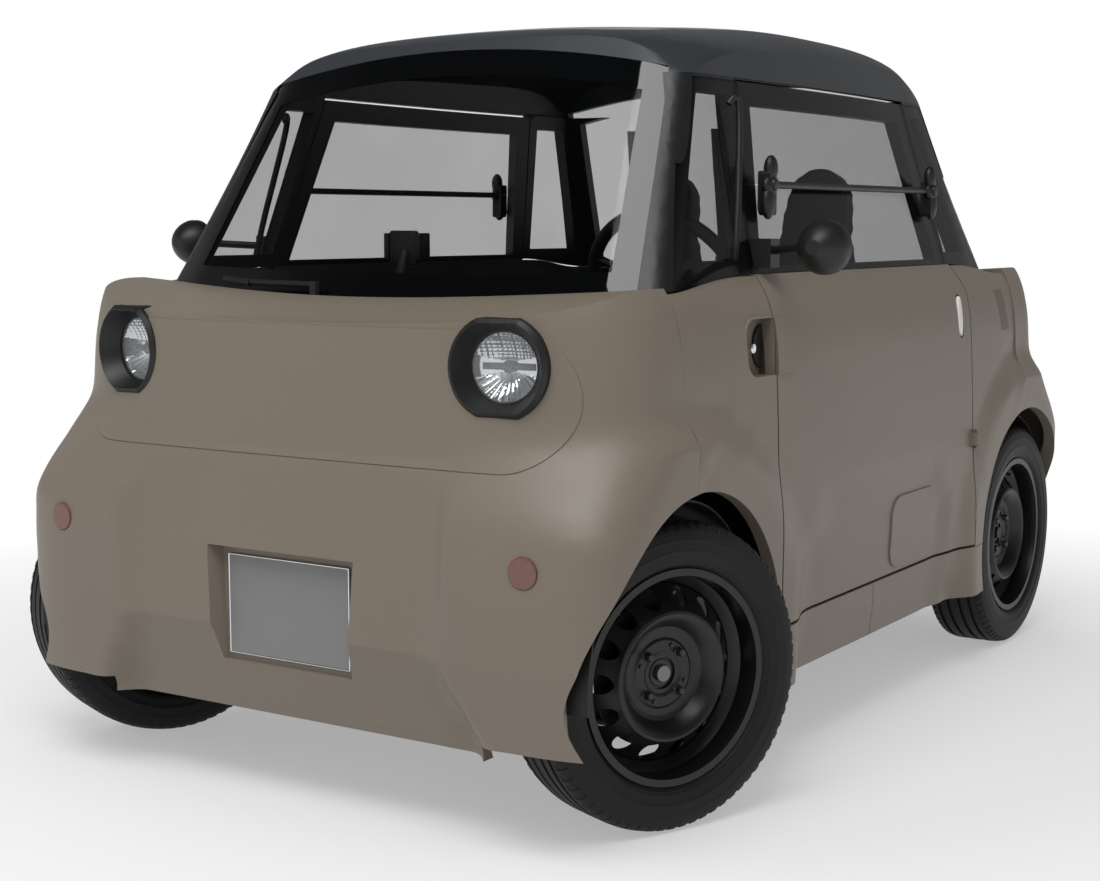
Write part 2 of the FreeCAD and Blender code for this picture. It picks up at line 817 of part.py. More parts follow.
def screen_prism(grow):
    """Outline of the windscreen seen from the front, carried through the front of the cabin."""
    foot_x = screen_foot_half + grow
    head_x = screen_head_half + grow
    head_z = screen_corner_z + grow
    foot = cowl_z - 60.0
    y = -1100.0
    slope = (foot_x - head_x) / (screen_corner_z - cowl_z)
    left = Part.makeLine(Vector(foot_x + slope * 60.0, y, foot), Vector(head_x, y, head_z))
    arch = Part.Arc(Vector(head_x, y, head_z), Vector(0, y, screen_corner_z + header_rise + grow),
                    Vector(-head_x, y, head_z)).toShape()
    right = Part.makeLine(Vector(-head_x, y, head_z), Vector(-foot_x - slope * 60.0, y, foot))
    base = Part.makeLine(Vector(-foot_x - slope * 60.0, y, foot), Vector(foot_x + slope * 60.0, y, foot))
    face = Part.Face(Part.Wire([left, arch, right, base]))
    return face.extrude(Vector(0, 1100 + door_mid_y - 200, 0))


def quarter_prism(grow):
    """Outline of the left front quarter glass seen from the side."""
    foot = door_mid_y - quarter_foot - grow
    head = door_mid_y - quarter_head - grow
    top = roof_edge_z - door_head_drop + grow
    corners = [(300, foot, belt_z - belt_drop - 60), (300, head, top), (300, -300, top),
               (300, -300, belt_z - belt_drop - 60)]
    return flat(corners).extrude(Vector(500, 0, 0))


def below(z):
    return box(-1000, 1000, -1500, 1500, z - 2000, z)


def above(z):
    return box(-1000, 1000, -1500, 1500, z, z + 2000)


def cut_all(shape, cutters):
    for cutter in cutters:
        shape = shape.cut(cutter)
    return shape


def joined(shapes):
    first = shapes[0]
    return first.multiFuse(shapes[1:]).removeSplitter() if len(shapes) > 1 else first


def group(shapes):
    """Solids kept apart in one sub-part."""
    solids = []
    for shape in shapes:
        solids += shape.Solids
    return Part.makeCompound(solids)


def both_sides(shape):
    return group([shape, mirrored_x(shape)])


def cabin_parts():
    """Frame, screens and quarter glasses of the cabin."""
    glass_top = screen_corner_z + header_rise + 30.0
    skin = cabin_layer(0.0, glass_wall, glass_top)
    recess = cabin_layer(-3.0, glass_wall + seat_gap, glass_top, 12.0)
    wall_ring = cabin_layer(0.0, frame_wall, roof_edge_z)
    doors = [door_prism(shut_gap), half_turned(door_prism(shut_gap))]
    screen = skin.common(screen_prism(0.0))
    pane_seat = recess.common(quarter_prism(seat_gap))
    hole = quarter_prism(-glass_lap).cut(door_prism(shut_gap + glass_lap))
    hole = hole.common(above(belt_z + glass_lap))
    screen_hole = screen_prism(-glass_lap).common(above(cowl_z + glass_lap))
    cutters = [recess.common(screen_prism(seat_gap)), screen_hole]
    for tool in (pane_seat, hole):
        cutters += [tool, mirrored_x(tool)]
    cutters += [half_turned(cutter) for cutter in cutters]
    above_doors = box(-900, 900, door_mid_y - door_head_half - shut_gap, door_mid_y + door_head_half + shut_gap,
                      roof_edge_z - door_head_drop, roof_edge_z + 10)
    frame = cut_all(wall_ring, cutters + doors + [above_doors])
    frame = group([piece for piece in frame.Solids if piece.Volume > 1000.0])
    panes = [skin.common(quarter_prism(0.0)).cut(doors[0]),
             mirrored_x(skin.common(quarter_prism(0.0))).cut(doors[1])]
    panes += [half_turned(pane) for pane in panes]
    return frame, screen, half_turned(screen), group(panes)


def roof_opening(grow):
    """Upright rounded block through the roof glass opening."""
    block = box(-roof_glass_half - grow, roof_glass_half + grow, roof_glass_front - grow,
                roof_glass_rear + grow, 1300, 1700)
    return block.makeFillet(60.0 + grow, [edge for edge in block.Edges if edge.BoundBox.ZLength > 100])


def crown_layer(far):
    """Top layer of the roof down to a depth."""
    return crown_skin(-3.0).extrude(Vector(0, 0, -far - 3.0))


def roof_parts():
    """Roof moulding and the glass set into it."""
    outer = roof_block(0.0)
    glass = outer.common(crown_layer(glass_wall)).common(roof_opening(glass_lap))
    shell = outer.cut(roof_block(roof_wall)).cut(roof_opening(0.0))
    shell = shell.cut(crown_layer(glass_wall + seat_gap).common(roof_opening(glass_lap + seat_gap)))
    front = screen_prism(seat_gap)
    return shell.cut(front).cut(half_turned(front)), glass


def door_eyes(side):
    """Moving half of both door hinges, between the ears on the body."""
    y = hinge_place(side)
    pieces = []
    for z in hinge_heights:
        low = z - hinge_half_height
        height = 2 * hinge_half_height
        eye = rod(hinge_x, y, low, hinge_radius, height, (0, 0, 1))
        arm = box(hinge_x - hinge_reach, hinge_x, min(y, y - side * 12), max(y, y - side * 12), low, low + height)
        pieces.append(eye.fuse(arm))
    return pieces


def door_panel(side):
    """Outer and inner skin of a door below the belt, with its pads and pocket."""
    prism = door_space(side, 0.0)
    panel = side_slab(0.0, door_wall).common(prism)
    for rise, block in ((pad_rise, side_block(pad_y, pad_z, pad_length, pad_height, 50.0)),
                        (handle_rise, handle_block(0.0))):
        panel = panel.fuse(side_slab(-rise, 6.0).common(placed_for(side, block)).common(prism))
    pocket = side_block(marker_pocket_y, marker_pocket_z, 34.0, 100.0, 16.0)
    panel = panel.cut(side_slab(-8.0, marker_pocket_depth).common(placed_for(side, pocket)))
    return panel.cut(above_belt(-2.0))


def door_parts(side):
    """Door with its window frame, and its upper and lower pane."""
    window = cabin_layer(glass_wall + seat_gap, frame_wall, roof_edge_z).common(door_space(side, 0.0))
    opening = door_space(side, -window_border).common(above(belt_z + 14))
    skin = cut_all(door_panel(side), hinge_spaces(side))
    shell = joined([skin, window.cut(opening)] + door_eyes(side))
    for z in hinge_heights:
        shell = shell.cut(rod(hinge_x, hinge_place(side), z - 30, hinge_pin_radius + seat_gap, 60, (0, 0, 1)))
    glass = cabin_layer(0.0, glass_wall, roof_edge_z).common(door_space(side, -1.0)).cut(below(belt_z + 3))
    panes = group([glass.common(above(window_split_z + 1.0)), glass.common(below(window_split_z - 1.0))])
    return (shell, panes) if side > 0 else (mirrored_x(shell), mirrored_x(panes))


def window_bar():
    """Bar across the left door window, in a bracket at each end."""
    z = window_split_z
    share = (z - belt_z) / (roof_edge_z - belt_z)
    x = belt_half_width + (roof_edge_half_width - belt_half_width) * share + bar_stand_off
    half = door_belt_half + (door_head_half - door_belt_half) * share - 46.0
    front = door_mid_y - half
    rear = door_mid_y + half
    pieces = [rod(x, front, z, bar_radius, rear - front, (0, 1, 0))]
    for y in (front, rear):
        foot = box(x - bar_stand_off + 1.5, x + 12, y - 14, y + 14, z - 58, z + 26)
        pieces.append(foot.makeFillet(6.0, [edge for edge in foot.Edges if edge.BoundBox.XLength > 10]))
    return joined(pieces).cut(cabin_filled(-seat_gap, belt_z - 30, roof_edge_z))


def mirror():
    """Left door mirror: arm and round cup."""
    centre = Vector(mirror_x, mirror_y, mirror_z)
    tip, waist = [centre + Vector(place[0], place[1], 0) for place in ((12, -48), (38, -26))]
    rim_start, rim_end = [centre + Vector(mirror_radius, y, 0) for y in (0, 16)]
    curve = Part.Arc(tip, waist, rim_start).toShape()
    loop = [Part.makeLine(centre + Vector(0, -48, 0), tip), curve, Part.makeLine(rim_start, rim_end),
            Part.makeLine(rim_end, centre + Vector(0, 16, 0)),
            Part.makeLine(centre + Vector(0, 16, 0), centre + Vector(0, -48, 0))]
    cup = Part.Face(Part.Wire(loop)).revolve(centre, Vector(0, 1, 0), 360)
    glass_seat = rod(mirror_x, mirror_y + 12, mirror_z, mirror_radius - 5, 30, (0, 1, 0))
    x, y = mirror_foot_x, mirror_foot_y
    arm = bar((x - 6, y - 4, mirror_z - 8), (mirror_x - 20, mirror_y - 8, mirror_z), 8.0)
    foot = box(x - 60, x, y - 19, y + 19, mirror_z - 40, mirror_z + 14)
    return joined([cup.cut(glass_seat), arm, foot]).cut(cabin_filled(-seat_gap, belt_z - 30, roof_edge_z))


def rim():
    """Steel wheel about the X axis at the origin, its face towards +X."""
    half = rim_width / 2.0
    r = rim_radius
    bead = r - 15.0
    well = r - 32.0
    t = rim_wall
    outline = [(-half, r), (-half, bead + 2), (-half + 14, bead), (-half + 24, bead), (-half + 36, well),
               (half - 58, well), (half - 42, bead), (half - 14, bead), (half, bead + 2), (half, r),
               (half - t, r), (half - t, bead + 2 + t), (half - 14, bead + t), (half - 42 - 2, bead + t),
               (half - 58 - 2, well + t), (-half + 36 + 2, well + t), (-half + 24 + 2, bead + t),
               (-half + 14, bead + t), (-half + t, bead + 2 + t), (-half + t, r)]
    barrel = Part.Face(Part.makePolygon([Vector(x, 0, z) for x, z in outline + [outline[0]]]))
    barrel = barrel.revolve(Vector(0, 0, 0), Vector(1, 0, 0), 360)
    face = half - face_set_back
    ridge = rim_hole_ring - rim_hole_radius - 10.0
    bowl = face - rim_bowl_depth
    disc = [(face - 50, well + 1), (face - 42, well - 6), (face - 10, ridge + 11), (face - 2, ridge + 5),
            (face, ridge), (face - 3, ridge - 7), (face - 14, ridge - 18), (bowl + 5, ridge - 27),
            (bowl, ridge - 38), (bowl, hub_radius + 2), (bowl + 3, hub_radius - 3), (bowl + 3, hub_bore_radius + 13),
            (bowl, hub_bore_radius + 7), (bowl, hub_bore_radius)]
    back = [(x - t, z) for x, z in reversed(disc)]
    loop = disc + back
    disc = Part.Face(Part.makePolygon([Vector(x, 0, z) for x, z in loop + [loop[0]]]))
    disc = disc.revolve(Vector(0, 0, 0), Vector(1, 0, 0), 360)
    for i in range(rim_holes):
        angle = 2 * pi * i / rim_holes
        y, z = rim_hole_ring * cos(angle), rim_hole_ring * sin(angle)
        disc = disc.cut(rod(-half, y, z, rim_hole_radius, rim_width + 20, (1, 0, 0)))
    wheel = barrel.fuse(disc)
    hub_x = bowl - t
    hub = rod(hub_inner_x, 0, 0, hub_radius, hub_x - hub_inner_x, (1, 0, 0))
    wheel = wheel.fuse(hub).cut(rod(hub_inner_x - 1, 0, 0, spindle_radius + seat_gap, 200, (1, 0, 0)))
    return wheel.removeSplitter()


def tyre():
    """Tyre about the X axis at the origin, seated on the rim with a small gap."""
    half = tyre_width / 2.0
    r = tyre_radius
    seat = rim_radius - 15.0 + 2.0 + rim_wall + seat_gap
    bead_x = rim_width / 2.0 - rim_wall - seat_gap
    points = [(bead_x, seat), (bead_x, rim_radius + 1), (half - 3, rim_radius + 14), (half, rim_radius + 38),
              (half - 3, r - 22), (half - 14, r - 6), (half - 30, r - 1), (0, r)]
    right = points + [(-x, z) for x, z in reversed(points[:-1])]
    wall_t = 9.0
    inside = [(-bead_x + 10, seat), (-bead_x + 10, rim_radius + 2), (-half + wall_t, rim_radius + 34),
              (-half + 22, r - 18), (half - 22, r - 18), (half - wall_t, rim_radius + 34),
              (bead_x - 10, rim_radius + 2), (bead_x - 10, seat)]
    loop = right + inside
    face = Part.Face(Part.makePolygon([Vector(x, 0, z) for x, z in loop + [loop[0]]]))
    return face.revolve(Vector(0, 0, 0), Vector(1, 0, 0), 360)


def at_wheel(shape, side, end):
    """Wheel piece carried to its place, its face outwards."""
    copy = shape.copy()
    if side < 0:
        copy.rotate(Vector(0, 0, 0), Vector(0, 0, 1), 180)
    copy.translate(Vector(side * wheel_x, end * axle_y, tyre_radius))
    if end < 0:
        copy.rotate(Vector(side * wheel_x, -axle_y, 0), Vector(0, 0, 1), steer_angle)
    return copy


def hub_carrier():
    """Plate behind a hub with the spindle that the hub turns on, about the X axis."""
    plate = box(hub_inner_x - 40, hub_inner_x - 6, -24, 24, -64, 64)
    spindle = rod(hub_inner_x - 8, 0, 0, spindle_radius, rim_width / 2.0 - face_set_back - hub_inner_x - 18,
                  (1, 0, 0))
    return plate.fuse(spindle)


def knuckle(side):
    """Upright of a front wheel with its spindle and steering lever, turned as parked."""
    low = arm_low_z - tyre_radius + seat_gap
    high = arm_high_z - tyre_radius - seat_gap
    plate_x = hub_inner_x - 40
    pieces = [hub_carrier(), box(plate_x, hub_inner_x - 6, -24, 24, low, high)]
    for z0, z1 in ((low, -hub_radius - 6), (hub_radius + 6, high)):
        pieces.append(box(plate_x, 0, -kingpin_radius, kingpin_radius, z0, z1))
        pieces.append(rod(0, 0, z0, kingpin_radius, z1 - z0, (0, 0, 1)))
    pieces.append(box(plate_x, plate_x + 24, -steer_lever, 0, -54, -38))
    pieces.append(rod(plate_x + 12, -steer_lever, -54, 12, 16, (0, 0, 1)))
    return at_wheel(joined(pieces), side, -1)


def tower(end):
    """Upright plate on the left frame rail that carries a spring leg."""
    y = end * axle_y
    return box(rail_x + 6, rail_x + tower_wall, y - tower_half_length, y + tower_half_length,
               rail_top + seat_gap, spring_top_z)


def front_suspension():
    """Wishbones, spring legs and steering rack of the front wheels."""
    pieces = []
    rail_side = rail_x + rail_width + seat_gap
    for z in (arm_low_z - arm_height, arm_high_z):
        middle = z + arm_height / 2.0
        arm = [rod(wheel_x, -axle_y, z, arm_eye_radius, arm_height, (0, 0, 1))]
        for spread in (-arm_spread, arm_spread):
            foot = (rail_x + 10, -axle_y + spread, middle)
            arm.append(bar((wheel_x - 8, -axle_y, middle), foot, arm_tube_radius))
        pieces.append(joined(arm))
    lower = pieces[0].cut(box(0, rail_side, -1500, 0, 0, 1000))
    top = arm_high_z + arm_height / 2.0
    leg = bar((strut_foot_x, -axle_y, top), (rail_x + 20, -axle_y, spring_top_z - 20), strut_radius)
    pin = bar((strut_foot_x, -axle_y - 60, top), (strut_foot_x, -axle_y + 60, top), 10.0)
    upper = joined([pieces[1], leg, pin, tower(-1)])
    upper = upper.cut(box(0, rail_x + 6, -1500, 0, 0, 1000))
    lever_z = tyre_radius - 46
    rack = rod(-rack_half_length, -axle_y - steer_lever, lever_z, rack_radius, 2 * rack_half_length, (1, 0, 0))
    brackets = [box(x - 12, x + 12, -axle_y - steer_lever - 12, -axle_y - steer_lever + 12,
                    rail_top + seat_gap, lever_z) for x in (-rail_x - 20, rail_x + 20)]
    return group([lower, mirrored_x(lower), upper, mirrored_x(upper), joined([rack] + brackets)])


def rear_suspension():
    """Beam axle with spindles, spring legs and their towers."""
    reach = wheel_x + hub_inner_x - 20
    pieces = [rod(-reach, axle_y, tyre_radius, beam_radius, 2 * reach, (1, 0, 0))]
    for side in (1, -1):
        pieces.append(at_wheel(hub_carrier(), side, 1))
        leg = bar((strut_foot_x, axle_y, tyre_radius), (rail_x + 20, axle_y, spring_top_z - 20), strut_radius)
        stand = joined([leg, tower(1)]).cut(box(0, rail_x + 6, 0, 1500, 0, 1000))
        pieces.append(stand if side > 0 else mirrored_x(stand))
    return joined(pieces)


def chassis_frame():
    """Two long rails joined by cross members."""
    low = rail_top - rail_height
    pieces = []
    for x in (rail_x, -rail_x - rail_width):
        pieces.append(box(x, x + rail_width, -rail_half_length, rail_half_length, low, rail_top))
    for y in (-1060.0, -780.0, -560.0, 0.0, 530.0, 1060.0):
        half = cross_member / 2
        pieces.append(box(-cross_half_width, cross_half_width, y - half, y + half, low, rail_top))
    return joined(pieces)


def bulkhead_front():
    """Inner face of the wall between cabin and front wheels."""
    return -axle_y + arch_well_radius + seat_gap


def floor_pan(inside):
    """Cabin floor with the footwell ahead of it."""
    low = rail_top + seat_gap
    front = bulkhead_front()
    main = box(-720, 720, front, -front, low, low + floor_wall).common(inside)
    well = box(-footwell_half, footwell_half, -footwell_front, front + 1, low, low + floor_wall)
    return joined([main, well])


def front_bulkhead(inside):
    """Wall between the cabin and the front wheels, stepped forward round the footwell."""
    foot = rail_top + floor_wall + 2 * seat_gap
    front = bulkhead_front()
    t = bulkhead_wall
    low_top = dash_foot_z - seat_gap
    high_top = dash_top_z - dash_wall - seat_gap
    cross = box(-720, 720, front, front + t, foot, low_top).common(inside)
    cross = cross.cut(box(-footwell_half + t, footwell_half - t, front - 1, front + t + 1, 0, 2000))
    pieces = [cross, box(-footwell_half, footwell_half, -footwell_front, -footwell_front + t, foot, high_top)]
    for x in (-footwell_half, footwell_half - t):
        pieces.append(box(x, x + t, -footwell_front, front + t, foot, low_top))
    return joined(pieces).cut(handle_cup(seat_gap))


def rear_bulkhead(inside):
    """Wall behind the seats with the shelf above the rear wheels."""
    foot = rail_top + floor_wall + 2 * seat_gap
    rear = -bulkhead_front()
    wall_piece = box(-720, 720, rear - bulkhead_wall, rear, foot, shelf_z + shelf_wall).common(inside)
    wall_piece = wall_piece.cut(half_turned(handle_cup(seat_gap)))
    shelf = box(-shelf_half_width, shelf_half_width, rear - bulkhead_wall, shelf_rear, shelf_z, shelf_z + shelf_wall)
    return joined([wall_piece, shelf.common(box(-900, 900, 0, rear_seam() - 20, 0, 2000))])


def arch_liner():
    """Left front wheel housing: half tube with an inner end wall open round the axle."""
    outer = arch_well_radius - seat_gap
    inner = outer - liner_wall
    x0 = arch_well_x + 1.0
    hollow = arch_cut(-axle_y, inner, x0 + liner_wall, liner_mouth_x + 1)
    tube = arch_cut(-axle_y, outer, x0, liner_mouth_x).cut(hollow)
    half = strut_slot_half
    slot = box(x0 - 1, x0 + liner_wall + 1, -axle_y - half, -axle_y + half, -50, strut_slot_top)
    return tube.cut(slot).cut(box(0, 800, -1500, 0, -50, liner_foot_z))


def arch_liners():
    front = arch_liner()
    rear = mirrored_y(front)
    return group([front, mirrored_x(front), rear, mirrored_x(rear)])


def cowls():
    """Dark strips between the mouldings and the feet of the front and rear screens."""
    outer = cowl_outline(-cowl_strip + seat_gap, cowl_z - 28, cowl_z + 60)
    ring = outer.cut(cowl_outline(cowl_strip + 38.0, cowl_z - 40, cowl_z + 70))
    rows = []
    for y in (-1100.0, -1000.0, -920.0, -860.0, -800.0, -750.0, -700.0):
        rows.append([(x, y, foot_height(x, y) - cowl_gap) for x in range(-640, 641, 80)])
    top = surface(rows)
    front = ring.common(top.extrude(Vector(0, 0, -200)))
    front = front.common(box(-800, 800, -1200, door_mid_y - quarter_foot - 8, 0, 1200))
    return group([front, half_turned(front)])


def foot_height(x, y):
    """Height of the cabin foot near the front screen."""
    share = min(1.0, abs(x) / screen_foot_half)
    return belt_height(y) - (belt_z - belt_drop - cowl_z) * (1.0 - share ** 2)


def dashboard():
    """Hollow dashboard, open below, with a bore for the steering column."""
    def profile(inset, x0, x1):
        foot = dash_foot_z - (20 if inset else 0)
        points = [(dash_front_y + inset, foot), (dash_front_y + inset, dash_top_z - inset),
                  (dash_rear_y - 95 - inset / 3, dash_top_z - inset),
                  (dash_rear_y - 20 - inset, dash_top_z - 18 - inset / 2),
                  (dash_rear_y - inset, dash_top_z - 55), (dash_rear_y - 10 - inset, foot)]
        return flat([(x0, y, z) for y, z in points]).extrude(Vector(x1 - x0, 0, 0))

    shell = profile(0.0, -dash_half_width, dash_half_width)
    shell = shell.cut(profile(dash_wall, -dash_half_width + dash_wall, dash_half_width - dash_wall))
    bore = steering_rod(column_radius + seat_gap, 0.0, column_length + 40)
    return shell.cut(bore)


def steering_axis():
    """Direction of the steering shaft, from the car's nose up to the driver."""
    return Vector(0, cos(radians(wheel_tilt)), sin(radians(wheel_tilt)))


def steering_rod(radius, start, end):
    """Round bar along the steering shaft, between distances ahead of the wheel centre."""
    centre = Vector(wheel_centre_x, wheel_centre_y, wheel_centre_z)
    return Part.makeCylinder(radius, end - start, centre - steering_axis() * end, steering_axis())


def steering_column():
    """Tube that carries the steering shaft."""
    tube = steering_rod(column_radius, 30.0, column_length)
    return tube.cut(steering_rod(shaft_radius + seat_gap, 20.0, 95.0))


def steering_wheel():
    """Ring with a hub, three spokes and the shaft."""
    centre = Vector(wheel_centre_x, wheel_centre_y, wheel_centre_z)
    axis = steering_axis()
    up = Vector(0, -sin(radians(wheel_tilt)), cos(radians(wheel_tilt)))
    ring = Part.makeTorus(wheel_ring_radius, wheel_grip_radius, centre, axis)
    hub = steering_rod(wheel_hub_radius, -14.0, 22.0)
    pieces = [ring, hub, steering_rod(shaft_radius, 10.0, 90.0)]
    for angle in (-90.0, 25.0, 155.0):
        way = Vector(1, 0, 0) * cos(radians(angle)) + up * sin(radians(angle))
        pieces.append(Part.makeCylinder(9.0, wheel_ring_radius, centre, way))
    return joined(pieces)


def seat(x, back_y):
    """One-piece seat, its tall back narrows to a rounded head."""
    half = seat_width / 2.0
    top = seat_back_rise
    curve = Part.BSplineCurve()
    right = [(half, 200), (half - 6, top * 0.44), (half - 50, top * 0.58), (half - 96, top * 0.72),
             (half - 118, top * 0.86), (half - 146, top * 0.96)]
    points = right + [(0.0, top)] + [(-u, w) for u, w in reversed(right)]
    curve.interpolate([Vector(u, 0, w) for u, w in points])
    corners = [Vector(-half, 0, 200), Vector(-half + 30, 0, -30), Vector(half - 30, 0, -30), Vector(half, 0, 200)]
    edges = [curve.toShape()] + [Part.makeLine(a, b) for a, b in zip(corners, corners[1:])]
    back = Part.Face(Part.Wire(edges)).extrude(Vector(0, seat_back_wall, 0))
    back.rotate(Vector(0, 0, 0), Vector(1, 0, 0), -seat_lean)
    cushion = box(-half, half, -cushion_length + 40, 60, 0, cushion_wall)
    cushion = cushion.makeFillet(34.0, [edge for edge in cushion.Edges if edge.BoundBox.ZLength > 50])
    shape = joined([back, cushion]).common(box(-half - 10, half + 10, -600, 400, 0, 1200))
    shape.translate(Vector(x, back_y, cushion_z))
    return shape


def seat_plinth(x, back_y):
    """Closed box below a seat cushion."""
    foot = rail_top + floor_wall + 2 * seat_gap
    return box(x - 165, x + 165, back_y - cushion_length + 90, back_y + 50, foot, cushion_z - seat_gap)


def battery_box():
    """Heavy battery block below the passenger's seat."""
    return seat_plinth(passenger_x, passenger_back_y)


def drive_motor():
    """Motor with its gears, one block on the front cross members."""
    return box(-160, 160, -axle_y - 90, -axle_y + 100, rail_top + seat_gap, rail_top + 230)


def plates():
    """Blank plates in the pockets of both mouldings."""
    rear = plate_seat_y - seat_gap
    front = box(-plate_width / 2, plate_width / 2, rear - plate_thickness, rear,
                plate_z - plate_height / 2, plate_z + plate_height / 2)
    return group([front, mirrored_y(front)])


def wiper():
    """Wiper with its spindle, arm and blade at the foot of the windscreen."""
    foot = foot_height(wiper_x, wiper_y) - cowl_gap + seat_gap
    spindle = rod(wiper_x, wiper_y, foot, wiper_boss_radius, wiper_z - foot + 6, (0, 0, 1))
    elbow = (wiper_x - 210, wiper_y + 14, wiper_z + 2)
    arm = bar((wiper_x, wiper_y, wiper_z), elbow, 6.0)
    blade = bar((elbow[0] - 40, elbow[1] + 10, elbow[2] + 4), (elbow[0] + 40, elbow[1] - 4, elbow[2] - 2), 7.0)
    return joined([spindle, arm, blade])


def four_corners(left_front):
    """A piece at the left front, repeated at all four corners."""
    front = group([left_front, mirrored_x(left_front)])
    return group([front, mirrored_y(front)])


def save(name, shape):
    if not shape.isValid():
        print("not valid:", name)
    shape.exportStep("parts/" + name + ".step")
    print(name, len(shape.Solids), round(shape.Volume / 1e6, 3))


def main():
    os.makedirs("parts", exist_ok=True)
    front, rear = mouldings()
    save("front_moulding", front)
    save("rear_moulding", rear)
    sills = []
    for side, name in ((1, "left"), (-1, "right")):
        panels, sill = body_side(side)
        save("side_panels_" + name, panels)
        sills.append(sill)
    save("sills", group(sills))
    frame, windscreen, rear_window, quarter_panes = cabin_parts()
    save("cabin_frame", frame)
    save("windscreen", windscreen)
    save("rear_window", rear_window)
    save("quarter_panes", quarter_panes)
    roof, roof_glass = roof_parts()
    save("roof", roof)
    save("roof_glass", roof_glass)
    save("cowls", cowls())

    inside = inside_body()
    save("floor_pan", floor_pan(inside))
    save("front_bulkhead", front_bulkhead(inside))
    save("rear_bulkhead", rear_bulkhead(inside))
    save("arch_liners", arch_liners())
    save("chassis_frame", chassis_frame())
    save("front_suspension", front_suspension())
    save("rear_suspension", rear_suspension())
    save("drive_motor", drive_motor())
    save("battery_box", battery_box())

    lamp = lamp_glass()
    headlamps = both_sides(lamp)
    save("lamp_bezels", four_corners(bezel()))
    save("headlamps", headlamps)
    save("tail_lamps", mirrored_y(headlamps))
    save("marker_lamps", four_corners(marker_body(0.0)))
    save("plates", plates())
    save("wiper", wiper())

    save("dashboard", dashboard())
    save("steering_column", steering_column())
    save("steering_wheel", steering_wheel())
    save("seat_driver", seat(driver_x, driver_back_y))
    save("seat_passenger", seat(passenger_x, passenger_back_y))
    save("seat_plinth", seat_plinth(driver_x, driver_back_y))

    fittings = group([window_bar(), mirror()])
    for side, name in ((1, "left"), (-1, "right")):
        door, panes = door_parts(side)
        save("door_" + name, door)
        save("door_" + name + "_glass", panes)
        save("door_" + name + "_fittings", fittings if side > 0 else mirrored_x(fittings))

    wheel_rim, wheel_tyre = rim(), tyre()
    for end, end_name in ((-1, "front"), (1, "rear")):
        for side, side_name in ((1, "left"), (-1, "right")):
            save("rim_" + end_name + "_" + side_name, at_wheel(wheel_rim, side, end))
            save("tyre_" + end_name + "_" + side_name, at_wheel(wheel_tyre, side, end))
    save("knuckle_left", knuckle(1))
    save("knuckle_right", knuckle(-1))


main()
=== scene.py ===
from math import atan2, cos, exp, pi, radians, sin, sqrt

import bpy
from mathutils import Matrix, Vector


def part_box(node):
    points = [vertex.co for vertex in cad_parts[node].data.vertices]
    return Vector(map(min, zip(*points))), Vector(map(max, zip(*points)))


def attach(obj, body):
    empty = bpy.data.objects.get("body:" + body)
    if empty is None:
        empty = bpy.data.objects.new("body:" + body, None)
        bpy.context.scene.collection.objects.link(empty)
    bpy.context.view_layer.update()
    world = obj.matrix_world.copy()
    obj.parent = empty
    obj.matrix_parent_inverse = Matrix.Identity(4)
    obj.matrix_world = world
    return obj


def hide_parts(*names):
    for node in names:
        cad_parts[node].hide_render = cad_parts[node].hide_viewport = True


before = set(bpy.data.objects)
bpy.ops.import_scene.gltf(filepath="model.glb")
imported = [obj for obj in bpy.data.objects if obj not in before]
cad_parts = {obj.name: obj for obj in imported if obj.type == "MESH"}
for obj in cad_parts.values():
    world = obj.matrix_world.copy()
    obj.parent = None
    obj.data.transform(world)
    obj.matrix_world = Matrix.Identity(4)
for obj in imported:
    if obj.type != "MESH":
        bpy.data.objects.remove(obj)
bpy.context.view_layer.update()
print("frame loaded")


# the camera

cameraValues = {"place": (2.146, -3.591, 1.063), "tiltDeg": 83.05, "turnDeg": 32.79, "lens": 59.24,
                "shiftX": -0.0055, "shiftY": 0.003}

camera = bpy.data.cameras.new("camera")
camera.lens = cameraValues["lens"]
camera.sensor_width = 36.0
camera.shift_x = cameraValues["shiftX"]
camera.shift_y = cameraValues["shiftY"]
cameraObject = bpy.data.objects.new("camera", camera)
bpy.context.scene.collection.objects.link(cameraObject)
cameraObject.location = cameraValues["place"]
cameraObject.rotation_euler = (radians(cameraValues["tiltDeg"]), 0, radians(cameraValues["turnDeg"]))
bpy.context.scene.camera = cameraObject
bpy.context.scene.view_settings.view_transform = "Standard"


# one socket of a node, so that a mask can be written as a sum
class Wire:
    def __init__(self, paint, socket):
        self.paint = paint
        self.socket = socket

    def worked(self, operation, other=None):
        values = {0: self}
        if other is not None:
            values[1] = other
        return self.paint.add("ShaderNodeMath", {"operation": operation}, values)

    def __add__(self, other):
        return self.worked("ADD", other)

    def __radd__(self, other):
        return self.worked("ADD", other)

    def __sub__(self, other):
        return self.worked("SUBTRACT", other)

    def __rsub__(self, other):
        return self.paint.add("ShaderNodeMath", {"operation": "SUBTRACT"}, {0: other, 1: self})

    def __mul__(self, other):
        return self.worked("MULTIPLY", other)

    def __truediv__(self, other):
        return self.worked("DIVIDE", other)

    def __gt__(self, other):
        return self.worked("GREATER_THAN", other)

    def __lt__(self, other):
        return self.worked("LESS_THAN", other)

    def __pow__(self, other):
        return self.worked("POWER", other)

    def __abs__(self):
        return self.worked("ABSOLUTE")


